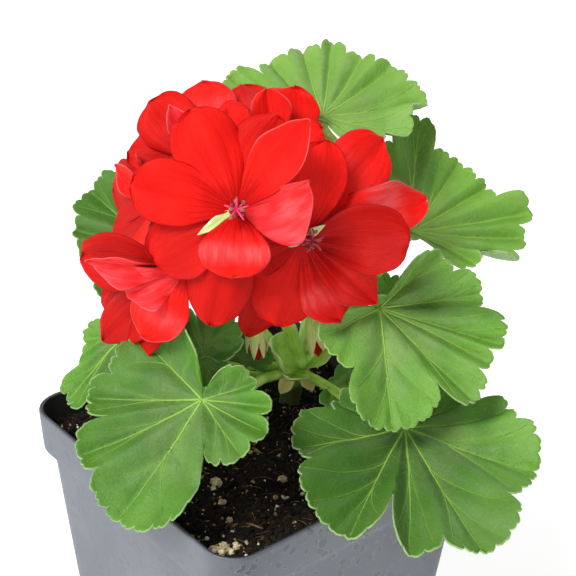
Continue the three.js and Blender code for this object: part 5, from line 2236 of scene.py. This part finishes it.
@dataclass
class FlowerHead:
    """The flower head: its stalk, a stalk and sepals for each floret and bud, petals and styles."""

    wardrobe: Wardrobe
    seat: Placement
    stalk_route: tuple[Point, ...] = ((15.2, 20.6, 8.8), (11, 12, 26), (5.5, 4, 43), HUB)
    sepal_length: float = 8.0
    sepal_width: float = 3.2
    calyx_back: float = -1.5
    style_foot: float = 1.2
    shown_sepals: tuple[tuple[str, PetalForm], ...] = (
        ("floret_front", PetalForm(214, 10.5, 3.4, 13, -6, 30)),
        ("floret_right", PetalForm(33, 5.5, 2.4, 34, 0, 40)),
        ("floret_right", PetalForm(196, 4.5, 2.2, 30, 0, 40)))
    # how brown each style is; on floret_right the brown is partly painted shade over a style that lies in
    # shade
    style_browning: tuple[tuple[str, str, float], ...] = (
        ("floret_front", "floret_front_style", 0.0), ("floret_right", "floret_right_style", 0.55),
        ("floret_back", "floret_back", 0.1), ("floret_back_left", "floret_back_left", 0.3),
        ("floret_top_left", "floret_top_left", 0.2), ("floret_top_right", "floret_top_right", 0.3))

    def stalks(self) -> Shape:
        """Builds the stalks of the head.

        Returns:
            The main stalk, its knob and the stalks of florets and buds.
        """
        built = [tube(np.array(self.stalk_route), (2.1, 1.7), 16, 36, (0, 0.1), 0.03)]
        knob = turned([(0.6, -2.8), (2.0, -1.9), (2.6, -0.6), (2.7, 0.8), (1.9, 2.1), (0.7, 2.8)], 16, 5, 0.1)
        built.append(knob.placed(Placement(np.eye(3), np.array(HUB))))
        ends = [(form.placement.along(self.calyx_back), -8, (0.9, 0.85)) for form in FLORETS.values()]
        ends += [(form.placement, -6, (0.7, 0.7)) for form in BUDS.values()]
        for place, back, radii in ends:
            route = np.array([HUB, place.spot(back), place.spot(-1)])
            built.append(tube(route, radii, 10, 20, (0.3, 0.5)))
        return Shape.joined(built)

    def calyx(self, place: Placement, form: PetalForm, seed: int) -> list[Shape]:
        """Five sepals round a frame's axis.

        Args:
            place: Frame of the flower's base.
            form: The form of one sepal; its turn is that of the first.
            seed: Seed of the small differences between them.

        Returns:
            The sepals, with the marks of the stalks' finish.
        """
        rng = np.random.default_rng(seed)
        built = []
        for k in range(5):
            near = PetalForm(form.turn + 72 * k + rng.uniform(-5, 5), form.length * rng.uniform(0.92, 1.08),
                             form.width, form.rise + rng.uniform(-4, 4), form.curl, form.cup)
            built.append(self.sepal(near, place, seed + k, 0.45, 0.0, 0.8))
        return built

    @staticmethod
    def sepal(form: PetalForm, place: Placement, seed: int, margin: float, least: float,
              more: float) -> Shape:
        """One sepal with a pale margin.

        Args:
            form: Its form.
            place: Frame of the flower that it belongs to.
            seed: Seed of its small irregularities.
            margin: How far the pale margin reaches in from its edge.
            least: How pale its middle is, from 0 to 1.
            more: How much paler its edge is.

        Returns:
            The closed sheet.
        """
        sepal = Petal(form, seed, Outline.SEPAL).build(16, 8).placed(place)
        return sepal.marked(pale=least + more * np.exp(-(sepal.marks["edge"] / margin) ** 2),
                            around=0.25 * sepal.marks["across"])

    def sepals(self) -> Shape:
        """Builds every calyx.

        Returns:
            The open ones behind the florets and the closed ones round the buds.
        """
        built = []
        for k, form in enumerate(FLORETS.values()):
            place = form.placement.along(self.calyx_back - 0.2)
            sepal = PetalForm(55, self.sepal_length, self.sepal_width, -22, -12, 30)
            built += self.calyx(place, sepal, 100 + 7 * k)
        for name, form in self.shown_sepals:
            built.append(self.sepal(form, FLORETS[name].placement, 90, 0.6, 0.35, 0.6))
        for k, form in enumerate(BUDS.values()):
            sepal = PetalForm(56, form.length + 0.6, 4.9, 70, 26, 66)
            for closed in self.calyx(form.placement.along(-0.4), sepal, 300 + 7 * k):
                cream = np.maximum(closed.marks["pale"], 0.5 * closed.marks["along"])
                built.append(closed.marked(pale=cream, dry=0.8 * closed.marks["along"]))
        return Shape.joined(built)

    def floret(self, form: FloretForm, seed: int) -> Shape:
        """The petals of a floret and the small cushion that holds them.

        Args:
            form: The floret's form.
            seed: Seed of its first petal.

        Returns:
            The whole corolla.
        """
        cushion = turned([(0.6, -1.3), (1.5, -0.9), (2, -0.2), (2, 0.6), (1.4, 1.2), (0.5, 1.5)], 16)
        built = [cushion.marked(along=0.1, edge=5.0)]
        built += [Petal(petal, seed + k).build() for k, petal in enumerate(form.petals)]
        return Shape.joined(built).placed(form.placement)

    def bud(self, form: BudForm) -> Shape:
        """The rolled red petals inside a bud's sepals.

        Args:
            form: The bud's form.

        Returns:
            The closed body.
        """
        long = form.length
        rings = [(0.5, 1.3), (1.2, 2.6), (2.1, 0.4 * long), (2.3, 0.62 * long), (2.25, 0.8 * long),
                 (1.9, long - 0.6), (1.1, long + 0.8), (0.3, long + 1.6)]
        z = np.linspace(1.3, long + 2.0, 18)
        radius = np.interp(z, [r[1] for r in rings], [r[0] for r in rings])
        body = turned(list(zip(radius, z)), 20, 3, 0.09, 0.22)
        # the bud's rolled petals take the full painted shade of the mark deep
        return body.marked(edge=5.0, deep=1.0).placed(form.placement)

    def style(self, form: FloretForm, browning: float) -> Shape:
        """The style with its five curled arms.

        Args:
            form: The form of its floret.
            browning: How brown it is, from 0 to 1; on floret_right the brown is partly painted shade.

        Returns:
            The closed bodies.
        """
        built = [tube(np.array([[0, 0, 0], [0.05, 0, 2.5], [0, 0, 4.8]]), (0.55, 0.5), 10, 10)]
        for k in range(5):
            way = spoke(72 * k + 18)
            arm = [way * out + [0, 0, up] for out, up in ((0.2, 4.5), (1.2, 5.9), (2.3, 6.4), (3.0, 5.8))]
            built.append(tube(np.array(arm), (0.36, 0.22), 8, 12, (0, 0.3)))
        return Shape.joined(built).marked(dry=browning).placed(form.placement.along(self.style_foot))

    def stamens(self, form: FloretForm, seed: int) -> Shape:
        """Filaments round the style, each with a brown anther.

        Args:
            form: The form of their floret.
            seed: Seed of their small differences.

        Returns:
            The closed bodies.
        """
        rng = np.random.default_rng(seed)
        built = []
        for k in range(8):
            turn = 45 * k + rng.uniform(-14, 14)
            way, up = spoke(turn), np.array([0, 0, 1])
            tall, out = rng.uniform(2.6, 4.6), rng.uniform(1.3, 2.4)
            tip = way * out + up * tall
            thread = np.array([way * 0.8, way * (0.5 * out + 0.4) + up * 0.6 * tall, tip])
            built.append(tube(thread, (0.26, 0.16), 6, 8).marked(pale=0.35))
            lie = Placement.of_face(tuple(tip), rng.uniform(20, 80), turn + 90)
            pod = turned([(0.15, -0.75), (0.42, -0.4), (0.45, 0.2), (0.2, 0.75)], 8, 2, 0.25)
            built.append(pod.marked(dry=0.85, pale=0.3 * rng.uniform(0, 1)).placed(lie))
        return Shape.joined(built).placed(form.placement.along(self.style_foot))

    def build(self) -> None:
        """Makes the whole head."""
        stalks, sepals = self.stalks().placed(self.seat), self.sepals().placed(self.seat)
        nodes = ("flower_stalk",)
        Piece("head_stalks", Slot.STALK, nodes).from_shape(stalks, self.wardrobe.stalk)
        Piece("sepals", Slot.STALK, nodes).from_shape(sepals, self.wardrobe.stalk)
        both = Shape.joined([stalks, sepals]).marked(grow=1.0)
        HEAD_HAIRS.strew(both, Piece("head_hairs", Slot.STALK, nodes), self.wardrobe.hair)
        red = {name: self.floret(form, 500 + 20 * k) for k, (name, form) in enumerate(FLORETS.items())}
        red |= {name: self.bud(form) for name, form in BUDS.items()}
        for name, shape in red.items():
            petals = Piece(f"{name}_petals", Slot.PETAL, (name,))
            petals.from_shape(shape.placed(self.seat), self.wardrobe.petal)
        for k, (name, node, browning) in enumerate(self.style_browning):
            form = FLORETS[name]
            parts = {"stigma": self.style(form, browning), "stamens": self.stamens(form, 60 + k)}
            for part, shape in parts.items():
                piece = Piece(f"{name}_{part}", Slot.STYLE, (node,))
                piece.from_shape(shape.placed(self.seat), self.wardrobe.style)


@dataclass(frozen=True)
class Lamp:
    """A square soft lamp.

    Attributes:
        name: Name of the lamp.
        at: Its place in metres, x and y along the plant's own.
        power: Power in watts.
        width: Side of the lamp in metres.
    """

    name: str
    at: Point
    power: float
    width: float

    def build(self, seat: Placement, aim: Point) -> None:
        """Hangs the lamp up.

        Args:
            seat: The plant's frame, whose turn the lamp shares.
            aim: The point that it faces, in metres.
        """
        light = bpy.data.lights.new(self.name, "AREA")
        light.energy, light.size = self.power, self.width
        at = np.array(self.at) @ seat.axes
        back = unit(at - np.array(aim))
        side = unit(np.cross([0, 0, 1], back))
        linked(self.name, light).matrix_world = posed(np.array([side, np.cross(back, side), back]), at)


@dataclass(frozen=True)
class Studio:
    """Pale floor, soft light and the camera at the photograph's angle."""

    eye: Point = (10.4, -334.7, 220.3)
    elevation: float = 27.7
    roll: float = 2.0
    lens: float = 87.5
    sensor: float = 36.0
    world: float = 0.2
    floor_side: float = 8.0
    aim: Point = (0.0, 0.0, 0.11)
    lamps: tuple[Lamp, ...] = (
        Lamp("key_lamp", (-0.65, -0.7, 1.2), 20.0, 0.55), Lamp("side_lamp", (-1.1, -0.35, 0.25), 3.0, 0.7),
        Lamp("fill_lamp", (0.08, -1.15, 0.62), 3.0, 0.5), Lamp("back_lamp", (0.5, 1.0, 1.0), 7.5, 0.9))

    def floor(self) -> None:
        """The floor, kept out of the object."""
        half = self.floor_side / 2
        mesh = bpy.data.meshes.new("studio_floor")
        corners = [(-half, -half, 0), (half, -half, 0), (half, half, 0), (-half, half, 0)]
        mesh.from_pydata(corners, [], [(0, 1, 2, 3)])
        mesh.materials.append(FloorFinish().build())
        ground = linked("studio_floor", mesh)

    def camera(self, seat: Placement) -> None:
        """Sets up the camera.

        Args:
            seat: The plant's frame, in which the eye is given.
        """
        tip, turn = math.radians(self.elevation), math.radians(self.roll)
        up = np.array([0, math.sin(tip), math.cos(tip)])
        right = np.array([1.0, 0, 0])
        back = np.array([0, -math.cos(tip), math.sin(tip)])
        x = math.cos(turn) * right + math.sin(turn) * up
        y = -math.sin(turn) * right + math.cos(turn) * up
        axes = np.array([x, y, back]) @ seat.axes
        data = bpy.data.cameras.new("camera")
        data.lens, data.sensor_width = self.lens, self.sensor
        data.clip_start, data.clip_end = 0.01, 50
        camera = linked("camera", data)
        camera.matrix_world = posed(axes, seat.place(self.eye) * MM)
        bpy.context.scene.camera = camera

    def build(self, seat: Placement) -> None:
        """Sets up the floor, the light and the camera.

        Args:
            seat: The plant's frame.
        """
        self.floor()
        self.camera(seat)
        for lamp in self.lamps:
            lamp.build(seat, self.aim)
        world = bpy.data.worlds.new("studio_world")
        world.use_nodes = True
        sky = world.node_tree.nodes["Background"].inputs
        sky["Color"].default_value, sky["Strength"].default_value = tint("ffffff"), self.world
        bpy.context.scene.world = world
        bpy.context.scene.view_settings.view_transform = "Standard"


def write_sizes() -> None:
    """Brings the view layer up to date."""
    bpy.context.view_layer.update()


def main() -> None:
    """Builds the object piece by piece, then the studio round it."""
    logging.basicConfig(level=logging.INFO, format="%(message)s")
    wardrobe, seat, size = Wardrobe(), Placement.of_plant(), PotSize()
    Pot(size, wardrobe).build()
    Soil(size, wardrobe).build()
    Foliage(wardrobe, seat).build()
    FlowerHead(wardrobe, seat).build()
    Studio().build(seat)
    write_sizes()


if __name__ == "__main__":
    main()
